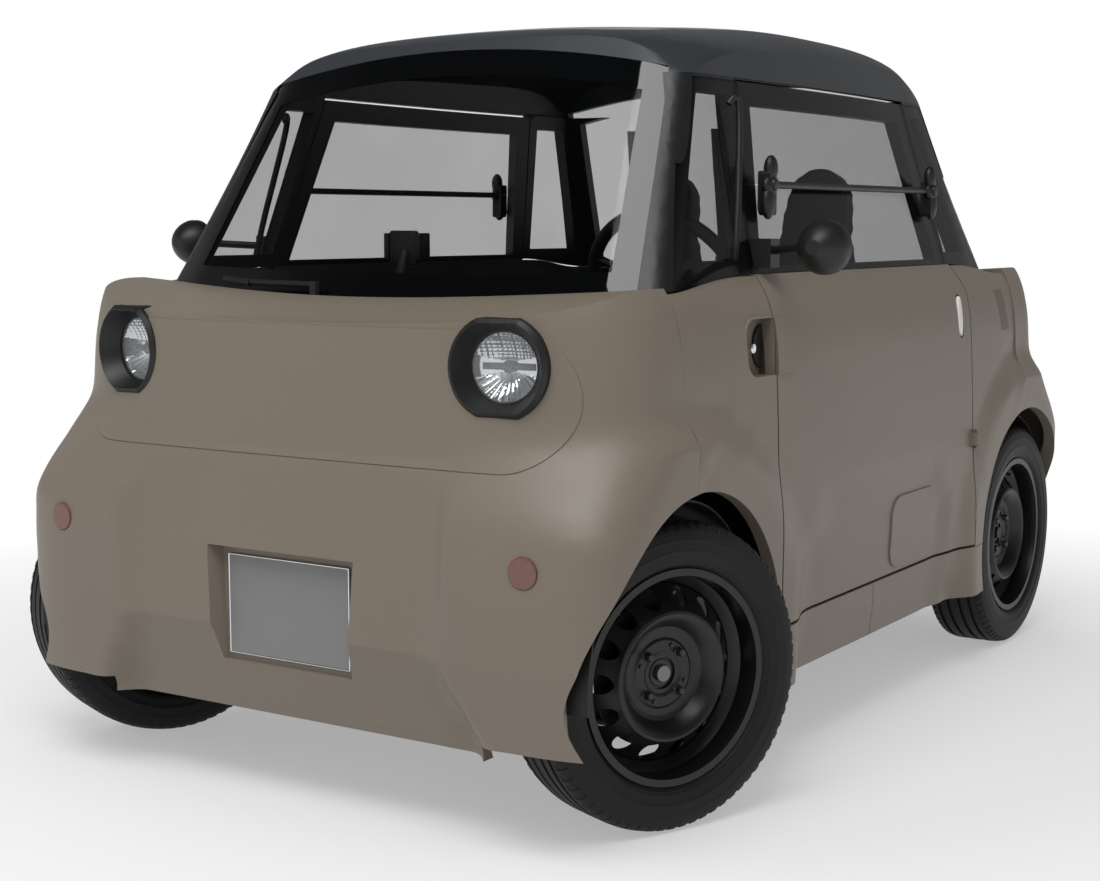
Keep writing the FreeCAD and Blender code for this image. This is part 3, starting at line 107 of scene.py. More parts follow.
# a material that is built node by node
class Paint:
    def __init__(self, name):
        self.material = bpy.data.materials.new(name)
        self.material.use_nodes = True
        self.nodes = self.material.node_tree.nodes
        self.links = self.material.node_tree.links
        self.nodes.clear()
        self.output = self.nodes.new("ShaderNodeOutputMaterial")
        self.shader = self.nodes.new("ShaderNodeBsdfPrincipled")
        self.links.new(self.shader.outputs[0], self.output.inputs["Surface"])

    def add(self, kind, settings=None, values=None, out=0):
        node = self.nodes.new(kind)
        for name, value in (settings or {}).items():
            setattr(node, name, value)
        for name, value in (values or {}).items():
            self.feed(node.inputs[name], value)
        return Wire(self, node.outputs[out])

    def feed(self, socket, value):
        if isinstance(value, Wire):
            self.links.new(value.socket, socket)
        elif socket.type == "RGBA" and len(value) == 3:
            socket.default_value = (*value, 1)
        else:
            socket.default_value = value

    def place(self):
        return self.add("ShaderNodeTexCoord", out="Object")

    def axes(self):
        parts = self.add("ShaderNodeSeparateXYZ", {}, {0: self.place()}).socket.node.outputs
        return [Wire(self, parts[i]) for i in range(3)]

    def noise(self, scale, detail=3.0, roughness=0.55):
        return self.add("ShaderNodeTexNoise", {},
                        {"Vector": self.place(), "Scale": scale, "Detail": detail, "Roughness": roughness})

    def mix(self, share, first, second):
        return self.add("ShaderNodeMix", {"data_type": "RGBA"}, {0: share, 6: first, 7: second}, 2)

    def clamped(self, value, low, high):
        return self.add("ShaderNodeMapRange", {}, {"Value": value, "From Min": low, "From Max": high})

    def bump(self, height, strength, distance):
        normal = self.add("ShaderNodeBump", {},
                          {"Height": height, "Strength": strength, "Distance": distance})
        self.links.new(normal.socket, self.shader.inputs["Normal"])

    def set(self, **values):
        names = {"colour": "Base Color", "roughness": "Roughness", "metallic": "Metallic", "alpha": "Alpha",
                 "coat": "Coat Weight", "coatRoughness": "Coat Roughness", "sheen": "Sheen Weight",
                 "sheenRoughness": "Sheen Roughness", "specular": "Specular IOR Level"}
        for name, value in values.items():
            self.feed(self.shader.inputs[names[name]], value)
        return self.material


def srgb(red, green, blue):
    # eye values from 0 to 255 as light values
    shares = [value / 255 for value in (red, green, blue)]
    return tuple(share / 12.92 if share < 0.0392 else ((share + 0.055) / 1.055) ** 2.4 for share in shares)


def scaled(shade, factor):
    return tuple(value * factor for value in shade)


# finishes

finishValues = {
    "body": srgb(121, 111, 99), "bodyDeep": srgb(115, 105, 93), "roof": srgb(47, 50, 55),
    "frame": srgb(24, 25, 27), "plastic": srgb(23, 24, 25), "inner": srgb(17, 18, 19),
    "rubber": srgb(19, 19, 20), "rim": srgb(15, 15, 16), "plate": srgb(122, 122, 122),
    "glass": srgb(7, 8, 9), "steel": srgb(40, 41, 42), "cast": srgb(128, 129, 131),
    "seat": srgb(40, 41, 44), "belt": srgb(40, 40, 42), "bolt": srgb(62, 62, 64),
    "chrome": srgb(226, 228, 232), "mirror": srgb(200, 204, 208), "white": srgb(236, 236, 232),
    "whiteDeep": srgb(226, 226, 222), "clearLens": srgb(225, 228, 230), "redLens": srgb(120, 14, 14),
    "markerLens": srgb(112, 78, 68), "dust": srgb(134, 126, 114), "wornRubber": srgb(32, 31, 30)}


def moulded(name, light, deep, grain, roughness, coat=0.0, dust=0.0):
    # moulded plastic: slow colour change, a fine grain, and dust low down where it is wanted
    paint = Paint(name)
    slow = paint.noise(2.2, 2.0)
    fine = paint.noise(900.0, 2.0)
    colour = paint.mix(slow, light, deep)
    colour = paint.mix(paint.clamped(fine, 0.35, 0.75) * 0.10, colour, tuple(min(1, v * 1.5) for v in light))
    if dust:
        height = paint.axes()[2]
        low = paint.clamped(height + paint.noise(14.0) * 0.12, 0.42, 0.16)
        colour = paint.mix(low * dust, colour, finishValues["dust"])
    shine = paint.clamped(paint.noise(60.0, 3.0), 0.2, 0.8) * 0.06 + (roughness - 0.03)
    paint.bump(paint.noise(grain, 2.0, 0.6) + fine * 0.4, 0.10, 0.0006)
    return paint.set(colour=colour, roughness=shine, coat=coat, coatRoughness=0.35, specular=0.45)


def glassPaint(name, haze, border=None):
    # tinted glass, denser at a slant, that turns opaque black at its printed border
    paint = Paint(name)
    x, y, z = paint.axes()
    streak = paint.noise(3.0, 2.0)
    slant = paint.add("ShaderNodeLayerWeight", {}, {"Blend": 0.32}, 1)
    alpha = paint.clamped(streak, 0.2, 0.8) * 0.02 + haze + (slant ** 3.0) * 0.6
    if border:
        alpha = alpha + border(x, z)
    alpha = alpha.worked("MINIMUM", 1.0)
    colour = paint.mix(streak, finishValues["glass"], scaled(finishValues["glass"], 0.8))
    return paint.set(colour=colour, roughness=paint.clamped(paint.noise(25.0), 0.0, 1.0) * 0.02 + 0.02,
                     alpha=alpha, specular=0.5)


def metalPaint(name, shade, roughness, metallic=1.0, scratch=0.0):
    paint = Paint(name)
    fine = paint.noise(400.0, 3.0)
    colour = paint.mix(paint.clamped(paint.noise(30.0), 0.3, 0.7) * 0.5, shade, scaled(shade, 0.8))
    if scratch:
        marks = paint.clamped(paint.noise(220.0, 4.0, 0.7), 0.66, 0.74)
        colour = paint.mix(marks * scratch, colour, tuple(min(1, v * 2.2 + 0.02) for v in shade))
    paint.bump(fine, 0.08, 0.0005)
    return paint.set(colour=colour, roughness=paint.clamped(fine, 0.2, 0.8) * 0.12 + (roughness - 0.06),
                     metallic=metallic)


def rubberPaint():
    paint = Paint("rubber")
    fine = paint.noise(700.0, 3.0)
    worn = paint.clamped(paint.noise(18.0, 4.0), 0.4, 0.75)
    colour = paint.mix(worn * 0.3, finishValues["rubber"], finishValues["wornRubber"])
    paint.bump(fine, 0.2, 0.0006)
    return paint.set(colour=colour, roughness=paint.clamped(fine, 0.2, 0.8) * 0.12 + 0.52, specular=0.3)


def wovenPaint(name, light, scale=520.0):
    # two sets of threads over and under each other, with sheen
    paint = Paint(name)
    x, y, z = paint.axes()
    across = (x * scale * 2.0).worked("SINE")
    up = ((z + y) * scale * 2.0).worked("SINE")
    weave = (across * up) * 0.5 + 0.5
    tone = paint.noise(40.0, 3.0)
    colour = paint.mix(weave * 0.5 + tone * 0.3, scaled(light, 0.6), light)
    paint.bump(weave, 0.5, 0.0008)
    return paint.set(colour=colour, roughness=weave * 0.1 + 0.74, sheen=0.3, sheenRoughness=0.4)


def lensPaint(name, shade, alpha):
    paint = Paint(name)
    swirl = paint.noise(160.0, 2.0)
    paint.bump(swirl, 0.05, 0.0004)
    colour = paint.mix(swirl, shade, tuple(min(1.0, v * 1.15) for v in shade))
    return paint.set(colour=colour, roughness=swirl * 0.03 + 0.02, alpha=swirl * 0.04 + (alpha - 0.02),
                     specular=0.6)


borderValues = {"sideWidth": 0.042, "headWidth": 0.052, "footWidth": 0.046, "edgeGap": 0.006, "taper": 0.072,
                "headCurve": 0.215, "footCurve": 0.030}


def windscreenBorder(x, z):
    # 1 on the printed border of the windscreen and 0 on its clear part, as seen from the front
    low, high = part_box("windscreen")
    height = (z - low.z) / (high.z - low.z)
    half = high.x - borderValues["edgeGap"] - height * borderValues["taper"]
    side = abs(x) > half - borderValues["sideWidth"]
    head = z > high.z - borderValues["headWidth"] - x * x * borderValues["headCurve"]
    foot = z < low.z + borderValues["footWidth"] + x * x * borderValues["footCurve"]
    return (side + head + foot).worked("MINIMUM", 1.0)


bodyPaint = moulded("bodyShell", finishValues["body"], finishValues["bodyDeep"], 420.0, 0.46, 0.12, 0.12)
roofPaint = moulded("roofShell", finishValues["roof"], scaled(finishValues["roof"], 0.9), 420.0, 0.44, 0.1)
framePaint = moulded("cabinFrame", finishValues["frame"], scaled(finishValues["frame"], 0.85), 420.0, 0.42)
blackPaint = moulded("grainPlastic", finishValues["plastic"], scaled(finishValues["plastic"], 0.85), 260.0,
                     0.46)
# the darkest plastic: real inner plastic, and also the painted shade in the handle recesses and behind the
# rim openings
innerAndShadePaint = moulded("innerPlasticAndShade", finishValues["inner"], scaled(finishValues["inner"], 0.8), 180.0, 0.6)
gripPaint = moulded("gripPlastic", finishValues["plastic"], scaled(finishValues["plastic"], 0.8), 500.0, 0.5)
platePaint = moulded("blankPlate", finishValues["plate"], scaled(finishValues["plate"], 0.95), 300.0, 0.4)
screenPaint = glassPaint("screenGlass", 0.13, windscreenBorder)
sidePaint = glassPaint("sideGlass", 0.27)
roofGlassPaint = glassPaint("roofGlass", 0.86)
rimPaint = metalPaint("rimBlack", finishValues["rim"], 0.40, 0.0, 0.05)
steelPaint = metalPaint("frameSteel", finishValues["steel"], 0.5, 0.3)
castPaint = metalPaint("castHousing", finishValues["cast"], 0.45, 0.9)
chromePaint = metalPaint("chrome", finishValues["chrome"], 0.10, 1.0)
boltPaint = metalPaint("boltSteel", finishValues["bolt"], 0.36, 0.7)
tyrePaint = rubberPaint()
seatPaint = wovenPaint("seatCover", finishValues["seat"])
beltPaint = wovenPaint("beltWeb", finishValues["belt"], 900.0)
clearPaint = lensPaint("clearLens", finishValues["clearLens"], 0.14)
redPaint = lensPaint("redLens", finishValues["redLens"], 0.9)
markerPaint = lensPaint("markerLens", finishValues["markerLens"], 0.9)
mirrorPaint = metalPaint("mirrorFace", finishValues["mirror"], 0.06, 1.0)
whitePaint = moulded("reflector", finishValues["white"], finishValues["whiteDeep"], 300.0, 0.3)
print("finishes ready")


# working tools

def clearSelection():
    if bpy.context.object and bpy.context.object.mode != "OBJECT":
        bpy.ops.object.mode_set(mode="OBJECT")
    bpy.ops.object.select_all(action="DESELECT")


def makeActive(piece):
    clearSelection()
    piece.select_set(True)
    bpy.context.view_layer.objects.active = piece


def applyPlace(piece):
    makeActive(piece)
    bpy.ops.object.transform_apply(location=True, rotation=True, scale=True)


def addModifier(piece, kind, **settings):
    modifier = piece.modifiers.new(kind.lower(), kind)
    for name, value in settings.items():
        setattr(modifier, name, value)
    makeActive(piece)
    bpy.ops.object.modifier_apply(modifier=modifier.name)


def smooth(piece, angle=32.0):
    makeActive(piece)
    bpy.ops.object.shade_smooth_by_angle(angle=radians(angle))


def dress(piece, paint, slot, body, *nodes):
    piece.data.materials.clear()
    piece.data.materials.append(paint)
    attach(piece, body)
    if nodes:
        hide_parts(*nodes)
    return piece


def mergedCopy(node, name, flatten=False):
    # the mesh of a node with its corners merged and, on request, its flat parts as whole faces
    piece = bpy.data.objects.new(name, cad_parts[node].data.copy())
    bpy.context.scene.collection.objects.link(piece)
    makeActive(piece)
    bpy.ops.object.mode_set(mode="EDIT")
    bpy.ops.mesh.select_all(action="SELECT")
    bpy.ops.mesh.remove_doubles(threshold=0.00002)
    bpy.ops.mesh.customdata_custom_splitnormals_clear()
    if flatten:
        bpy.ops.mesh.dissolve_limited(angle_limit=radians(0.6))
    bpy.ops.object.mode_set(mode="OBJECT")
    return piece


def dressedCopy(node, paint, slot, body, angle=30.0, edge=0.0):
    # a copy of a node with rounded edges and smooth faces
    piece = mergedCopy(node, node + "Skin", True)
    if edge:
        addModifier(piece, "BEVEL", width=edge, segments=2, limit_method="ANGLE",
                    angle_limit=radians(angle + 8), use_clamp_overlap=True, miter_outer="MITER_ARC")
    smooth(piece, angle)
    addModifier(piece, "WEIGHTED_NORMAL", keep_sharp=True, weight=60)
    return dress(piece, paint, slot, body, node)


def drawOutline(name, points):
    # a line of edges drawn from point to point
    clearSelection()
    bpy.ops.mesh.primitive_plane_add(size=0.01, location=(0, 0, 0))
    piece = bpy.context.object
    piece.name = name
    bpy.ops.object.mode_set(mode="EDIT")
    bpy.ops.mesh.select_mode(type="VERT")
    bpy.ops.mesh.select_all(action="SELECT")
    bpy.ops.mesh.merge(type="CENTER")
    bpy.ops.transform.translate(value=points[0])
    for here, there in zip(points, points[1:]):
        step = tuple(b - a for a, b in zip(here, there))
        bpy.ops.mesh.extrude_region_move(TRANSFORM_OT_translate={"value": step})
    bpy.ops.mesh.select_all(action="SELECT")
    return piece


def turnedPiece(name, outline, steps=64):
    # an outline of (place along x, radius) spun round the x axis
    piece = drawOutline(name, [(x, 0.0, r) for x, r in outline])
    bpy.ops.mesh.spin(steps=steps, angle=2 * pi, center=(0, 0, 0), axis=(1, 0, 0))
    bpy.ops.mesh.select_all(action="SELECT")
    bpy.ops.mesh.remove_doubles(threshold=0.00001)
    bpy.ops.mesh.normals_make_consistent(inside=False)
    bpy.ops.object.mode_set(mode="OBJECT")
    return piece


def boxPiece(name, low, high, edge=0.0, steps=3):
    clearSelection()
    middle = [(a + b) / 2 for a, b in zip(low, high)]
    bpy.ops.mesh.primitive_cube_add(size=1.0, location=middle)
    piece = bpy.context.object
    piece.name = name
    piece.scale = [b - a for a, b in zip(low, high)]
    applyPlace(piece)
    if edge:
        addModifier(piece, "BEVEL", width=edge, segments=steps)
    return piece


def rodPiece(name, start, end, radius, steps=20, edge=0.0):
    clearSelection()
    start, end = Vector(start), Vector(end)
    way = end - start
    bpy.ops.mesh.primitive_cylinder_add(vertices=steps, radius=radius, depth=way.length)
    piece = bpy.context.object
    piece.name = name
    turn = way.to_track_quat("Z", "Y").to_matrix().to_4x4()
    piece.matrix_world = Matrix.Translation((start + end) / 2) @ turn
    applyPlace(piece)
    if edge:
        addModifier(piece, "BEVEL", width=edge, segments=2, limit_method="ANGLE")
    return piece


def joinPieces(name, pieces):
    clearSelection()
    for piece in pieces:
        piece.select_set(True)
    bpy.context.view_layer.objects.active = pieces[0]
    if len(pieces) > 1:
        bpy.ops.object.join()
    pieces[0].name = name
    return pieces[0]


def pathPiece(name, points, radius):
    # a round tube along a smooth line
    line = bpy.data.curves.new(name, "CURVE")
    line.dimensions = "3D"
    spline = line.splines.new("NURBS")
    spline.points.add(len(points) - 1)
    for point, spot in zip(spline.points, points):
        point.co = (*spot, 1)
    spline.order_u = 3
    spline.use_endpoint_u = True
    line.bevel_depth = radius
    line.bevel_resolution = 3
    line.use_fill_caps = True
    holder = bpy.data.objects.new(name, line)
    bpy.context.scene.collection.objects.link(holder)
    makeActive(holder)
    bpy.ops.object.convert(target="MESH")
    piece = bpy.context.object
    bpy.ops.object.mode_set(mode="EDIT")
    bpy.ops.mesh.select_all(action="SELECT")
    bpy.ops.mesh.remove_doubles(threshold=0.00001)
    bpy.ops.mesh.normals_make_consistent(inside=False)
    bpy.ops.object.mode_set(mode="OBJECT")
    smooth(piece, 40.0)
    return piece


def strapPiece(name, points, width, thickness):
    # flat webbing: short straight boards along its line, joined and rounded
    pieces = []
    for here, there in zip(points, points[1:]):
        here, there = Vector(here), Vector(there)
        way = there - here
        board = boxPiece("board", (-width / 2, -thickness / 2, 0), (width / 2, thickness / 2, way.length))
        board.data.transform(Matrix.Translation(here) @ way.to_track_quat("Z", "Y").to_matrix().to_4x4())
        pieces.append(board)
    piece = joinPieces(name, pieces)
    addModifier(piece, "BEVEL", width=thickness * 0.3, segments=2)
    smooth(piece, 40.0)
    return piece


def copyOf(piece, name, matrix):
    twin = bpy.data.objects.new(name, piece.data.copy())
    bpy.context.scene.collection.objects.link(twin)
    twin.data.transform(matrix)
    if matrix.determinant() < 0:
        makeActive(twin)
        bpy.ops.object.mode_set(mode="EDIT")
        bpy.ops.mesh.select_all(action="SELECT")
        bpy.ops.mesh.flip_normals()
        bpy.ops.object.mode_set(mode="OBJECT")
    return twin


def mirrorX():
    return Matrix.Diagonal((-1, 1, 1, 1))


def mirrorY():
    return Matrix.Diagonal((1, -1, 1, 1))


# body panels

panelValues = {"edge": 0.0022, "frameEdge": 0.0015, "belt": 0.9668}

for node in ("front_moulding", "rear_moulding", "side_panels_left", "side_panels_right", "sills"):
    dressedCopy(node, bodyPaint, "body_shell", "car", 28.0, panelValues["edge"])
for side in ("left", "right"):
    # the window frame of a door is black above the belt line
    body = "door_" + side
    door = dressedCopy(body, bodyPaint, "body_shell", body, 28.0, panelValues["edge"])
    door.data.materials.append(framePaint)
    for face in door.data.polygons:
        if face.center.z > panelValues["belt"]:
            face.material_index = 1
dressedCopy("roof", roofPaint, "roof_shell", "car", 30.0, panelValues["edge"])
for node in ("cabin_frame", "cowls"):
    dressedCopy(node, framePaint, "dark_frame", "car", 30.0, panelValues["frameEdge"])
for node, paint in (("roof_glass", roofGlassPaint), ("windscreen", screenPaint), ("rear_window", sidePaint),
                    ("quarter_panes", sidePaint)):
    dressedCopy(node, paint, "dark_glass", "car")
for side in ("left", "right"):
    body = "door_" + side
    dressedCopy(body + "_glass", sidePaint, "dark_glass", body)
    dressedCopy(body + "_fittings", blackPaint, "black_plastic", body, 34.0)
print("body panels dressed")


# wheels

tyreValues = {"radius": 0.277, "half": 0.0748, "bead": 0.0605, "seat": 0.1854, "steps": 144, "groove": 0.0065,
              "grooves": (0.0405, 0.0145), "shoulderStart": 0.052, "shoulderEnd": 0.0718,
              "shoulderRadius": 0.2610, "blockCut": 0.0016}
# the last four wheel values place the dark disc of painted shade behind the rim's openings
wheelValues = {"x": 0.596, "y": 0.864, "z": 0.277, "steerDeg": -23.0, "bolts": 4, "boltRing": 0.049,
               "studRing": 0.052, "studTurn": 0.42, "face": 0.022, "valveRadius": 0.0036, "shadeDiscIn": 0.002,
               "shadeDiscOut": 0.005, "shadeDiscHole": 0.064, "shadeDiscRadius": 0.134}


def wheelPlace(sideSign, endSign):
    turn = 0.0 if sideSign > 0 else pi
    if endSign < 0:
        turn += radians(wheelValues["steerDeg"])
    spot = (sideSign * wheelValues["x"], endSign * wheelValues["y"], wheelValues["z"])
    return Matrix.Translation(spot) @ Matrix.Rotation(turn, 4, "Z")


def tyreOutline():
    r, half, bead = tyreValues["radius"], tyreValues["half"], tyreValues["bead"]
    seat, deep = tyreValues["seat"], tyreValues["groove"]
    # bead, rim guard, sidewall with two raised rings, and the rounded shoulder
    side = [(bead, seat), (bead + 0.0002, 0.1905), (0.0655, 0.1985), (0.0685, 0.2005), (0.0700, 0.2045),
            (0.0712, 0.2052), (0.0718, 0.2078), (0.0735, 0.2150), (half - 0.0004, 0.2240), (half, 0.2246),
            (half, 0.2262), (half - 0.0004, 0.2268), (half - 0.0006, 0.2380), (half - 0.0014, 0.2440),
            (half - 0.0012, 0.2446), (half - 0.0018, 0.2452), (0.0712, 0.2560), (0.0690, 0.2625),
            (0.0650, 0.2690), (0.0600, 0.2728), (0.0520, 0.2746)]
    grooves = []
    for centre in tyreValues["grooves"]:
        grooves += [(centre + 0.0045, r - 0.0009), (centre + 0.0036, r - deep), (centre - 0.0036, r - deep),
                    (centre - 0.0045, r - 0.0004)]
    halfLine = side + grooves
    mirrored = [(-x, z) for x, z in reversed(halfLine)]
    inner = [(-0.052, seat), (-0.052, 0.196), (-0.064, 0.222), (-0.056, 0.257), (0.056, 0.257),
             (0.064, 0.222), (0.052, 0.196), (0.052, seat)]
    return halfLine + mirrored + inner


def makeTyre():
    outline = tyreOutline()
    piece = turnedPiece("tyreMaster", outline + [outline[0]], tyreValues["steps"])
    step = 2 * pi / tyreValues["steps"]
    deselectMesh(piece)
    # shoulder blocks: every second slice of the shoulder gets a cut
    for face in piece.data.polygons:
        c = face.center
        radius = sqrt(c.y ** 2 + c.z ** 2)
        odd = int((atan2(c.z, c.y) + 2 * pi) / step) % 2
        shoulder = tyreValues["shoulderStart"] < abs(c.x) < tyreValues["shoulderEnd"]
        if shoulder and radius > tyreValues["shoulderRadius"] and not odd:
            face.select = True
    bpy.ops.object.mode_set(mode="EDIT")
    bpy.ops.mesh.select_mode(type="FACE")
    bpy.ops.mesh.inset(thickness=tyreValues["blockCut"], depth=-tyreValues["blockCut"], use_boundary=True)
    bpy.ops.object.mode_set(mode="OBJECT")
    smooth(piece, 28.0)
    return piece


def deselectMesh(piece):
    makeActive(piece)
    bpy.ops.object.mode_set(mode="EDIT")
    bpy.ops.mesh.select_mode(type="FACE")
    bpy.ops.mesh.select_all(action="DESELECT")
    bpy.ops.object.mode_set(mode="OBJECT")


def makeWheelDetails():
    # bolts with a stud beside each, the hub nut with its castle, and the valve
    face = wheelValues["face"]
    pieces = []
    for i in range(wheelValues["bolts"]):
        angle = 2 * pi * i / wheelValues["bolts"] + pi / 4
        ring = wheelValues["boltRing"]
        bolt = turnedPiece("bolt", [(face - 0.001, 0.0), (face - 0.001, 0.0125), (face + 0.002, 0.0115),
                                    (face + 0.004, 0.0085), (face + 0.013, 0.0080), (face + 0.0155, 0.0062),
                                    (face + 0.0165, 0.0)], 6)
        bolt.data.transform(Matrix.Translation((0, ring * cos(angle), ring * sin(angle))))
        pieces.append(bolt)
        stud = turnedPiece("stud", [(face - 0.001, 0.0), (face - 0.001, 0.0045), (face + 0.006, 0.0040),
                                    (face + 0.007, 0.0)], 12)
        turn = angle + wheelValues["studTurn"]
        ring = wheelValues["studRing"]
        stud.data.transform(Matrix.Translation((0, ring * cos(turn), ring * sin(turn))))
        pieces.append(stud)
    pieces.append(turnedPiece("hubNut", [(0.006, 0.0), (0.006, 0.0255), (0.016, 0.0255), (0.019, 0.0235),
                                         (0.019, 0.017), (0.012, 0.0165), (0.012, 0.0)], 48))
    pieces.append(turnedPiece("castle", [(0.010, 0.0), (0.010, 0.0125), (0.024, 0.0120), (0.0255, 0.0100),
                                         (0.0255, 0.0)], 6))
    pieces.append(rodPiece("valve", (0.030, 0.0, 0.1585), (0.056, 0.0, 0.1500), wheelValues["valveRadius"],
                           12, 0.0008))
    piece = joinPieces("wheelDetails", pieces)
    smooth(piece, 30.0)
    return piece


def makeShadeDisc():
    # painted shade: a dark disc just behind the rim's face, so that the openings of the rim look shadowed
    start, end = wheelValues["shadeDiscIn"], wheelValues["shadeDiscOut"]
    shade_plate, radius = wheelValues["shadeDiscHole"], wheelValues["shadeDiscRadius"]
    return turnedPiece("shade_disc", [(start, shade_plate), (start, radius), (end, radius), (end, shade_plate), (start, shade_plate)])


tyreMaster = makeTyre()
detailMaster = makeWheelDetails()
shadeDiscMaster = makeShadeDisc()
for endName, endSign in (("front", -1), ("rear", 1)):
    for sideName, sideSign in (("left", 1), ("right", -1)):
        corner = "%s_%s" % (endName, sideName)
        body = "wheel_" + corner
        place = wheelPlace(sideSign, endSign)
        dress(copyOf(tyreMaster, "tyre_%s_skin" % corner, place), tyrePaint, "tyre", body, "tyre_" + corner)
        dressedCopy("rim_" + corner, rimPaint, "rim_black", body, 26.0, 0.0012)
        dress(copyOf(detailMaster, "wheel_%s_bolts" % corner, place), boltPaint, "rim_black", body)
        # each wheel gets its dark disc of painted shade behind the rim openings
        dress(copyOf(shadeDiscMaster, "wheel_%s_shield" % corner, place), innerAndShadePaint, "rim_black", body)
for master in (tyreMaster, detailMaster, shadeDiscMaster):
    bpy.data.objects.remove(master)
print("wheels done")


# lamps

lampValues = {"x": 0.430, "y": 1.098, "z": 0.822, "turnDeg": 10.0, "radius": 0.0618, "rim": -0.016,
              "ball": 0.190, "glass": 0.003, "bowlSize": 0.122, "bowlRadius": 0.0595, "bowlGrid": 72,
              "bowlBack": 0.020, "bowlDeep": 0.030, "bandHalf": 0.009, "bandWiden": 0.16, "bandBack": 0.040,
              "rib": 0.0016, "crossRib": 0.0008}


def lampPlace(sideSign, endSign):
    # local x points out of the lamp
    turn = radians(lampValues["turnDeg"])
    way = Vector((sideSign * sin(turn), endSign * cos(turn), 0.0))
    spot = (sideSign * lampValues["x"], endSign * lampValues["y"], lampValues["z"])
    return Matrix.Translation(spot) @ Matrix.Rotation(atan2(way.y, way.x), 4, "Z")


def makeLensGlass():
    # part of a thin ball
    r, ball = lampValues["radius"], lampValues["ball"]
    points = []
    for i in range(9):
        radius = r * i / 8
        bulge = sqrt(ball ** 2 - radius ** 2) - sqrt(ball ** 2 - r ** 2)
        points.append((lampValues["rim"] + bulge, radius))
    back = [(x - lampValues["glass"], radius) for x, radius in reversed(points)]
    piece = turnedPiece("lensMaster", points + back, 64)
    smooth(piece, 40.0)
    return piece


def makeReflector():
    # a bowl with ribs above and below a flat band, behind the glass
    clearSelection()
    count = lampValues["bowlGrid"]
    bpy.ops.mesh.primitive_grid_add(x_subdivisions=count, y_subdivisions=count, size=lampValues["bowlSize"])
    piece = bpy.context.object
    piece.name = "reflectorMaster"
    r = lampValues["bowlRadius"]
    for vertex in piece.data.vertices:
        u, w = vertex.co.x, vertex.co.y
        far = sqrt(u * u + w * w)
        if far > r:
            u, w = u * r / far, w * r / far
            far = r
        if abs(w) < lampValues["bandHalf"] + abs(u) * lampValues["bandWiden"]:
            depth = -lampValues["bandBack"] + abs(u) * 0.10
        else:
            # a fan of ribs below, and crossed ribs above
            depth = -lampValues["bowlBack"] - lampValues["bowlDeep"] * (1.0 - (far / r) ** 2)
            fan = atan2(w, u) * 16 if w < 0 else u * 420.0
            depth += lampValues["rib"] * abs(sin(fan))
            depth += lampValues["crossRib"] * abs(sin(w * 520.0)) if w > 0 else 0.0
        vertex.co = (depth, u, w)
    addModifier(piece, "SOLIDIFY", thickness=0.0015, offset=-1.0)
    smooth(piece, 20.0)
    return piece


def makeLampTrim():
    ring = turnedPiece("ring", [(-0.0165, 0.0592), (-0.0150, 0.0618), (-0.0185, 0.0620), (-0.0640, 0.0620),
                                (-0.0640, 0.0600), (-0.0200, 0.0600), (-0.0165, 0.0592)], 64)
    cap = turnedPiece("cap", [(-0.0640, 0.0), (-0.0640, 0.0605), (-0.0620, 0.0605), (-0.0620, 0.0)], 48)
    piece = joinPieces("trimMaster", [ring, cap])
    smooth(piece, 30.0)
    return piece


def makeLampBulb():
    bar = boxPiece("bar", (-0.0385, -0.050, -0.0060), (-0.0345, 0.050, 0.0060), 0.0012)
    bulb = turnedPiece("bulb", [(-0.040, 0.0), (-0.040, 0.0115), (-0.030, 0.0110), (-0.027, 0.0085),
                                (-0.026, 0.0)], 32)
    piece = joinPieces("bulbMaster", [bar, bulb])
    smooth(piece, 30.0)
    return piece


glassMaster = makeLensGlass()
reflectorMaster = makeReflector()
trimMaster = makeLampTrim()
bulbMaster = makeLampBulb()
for endName, endSign, node, lens, slot in (("front", -1, "headlamps", clearPaint, "lamp_lens"),
                                           ("rear", 1, "tail_lamps", redPaint, "tail_lens")):
    for sideName, sideSign in (("left", 1), ("right", -1)):
        corner = "%s_%s" % (endName, sideName)
        place = lampPlace(sideSign, endSign)
        dress(copyOf(glassMaster, "lamp_%s_glass" % corner, place), lens, slot, "car", node)
        dress(copyOf(reflectorMaster, "lamp_%s_reflector" % corner, place), chromePaint, slot, "car")
        dress(copyOf(trimMaster, "lamp_%s_trim" % corner, place), blackPaint, "black_plastic", "car")
        dress(copyOf(bulbMaster, "lamp_%s_bar" % corner, place), blackPaint, "black_plastic", "car")
for master in (glassMaster, reflectorMaster, trimMaster, bulbMaster):
    bpy.data.objects.remove(master)
dressedCopy("lamp_bezels", blackPaint, "black_plastic", "car", 30.0, 0.0018)
dressedCopy("marker_lamps", markerPaint, "marker_lens", "car", 30.0, 0.003)
dressedCopy("plates", platePaint, "plate_grey", "car", 30.0, 0.0012)
dressedCopy("wiper", blackPaint, "black_plastic", "car", 30.0)
print("lamps done")


# inside

for node in ("dashboard", "steering_column", "floor_pan", "front_bulkhead", "rear_bulkhead", "arch_liners",
             "seat_plinth"):
    dressedCopy(node, innerAndShadePaint, "inner_plastic", "car", 30.0, 0.003 if node == "dashboard" else 0.0)
dressedCopy("steering_wheel", gripPaint, "grip_plastic", "steering_wheel", 40.0)


seatValues = {"voxel": 0.009, "shrink": 0.006, "cap": 0.012, "pressure": 4.0, "frames": 20, "fill": 0.8,
              "driver": (0.300, 0.262), "passenger": (-0.175, 0.374), "base": 0.432, "leanDeg": 12.0,
              "channel": 0.006, "channelWidth": 0.012, "sideChannel": 0.118, "crossHalf": 0.125,
              "headStart": 0.62, "cushionTop": 0.16, "backChannels": (0.30, 0.47, 0.62),
              "cushionChannels": (-0.33, -0.20, -0.07)}


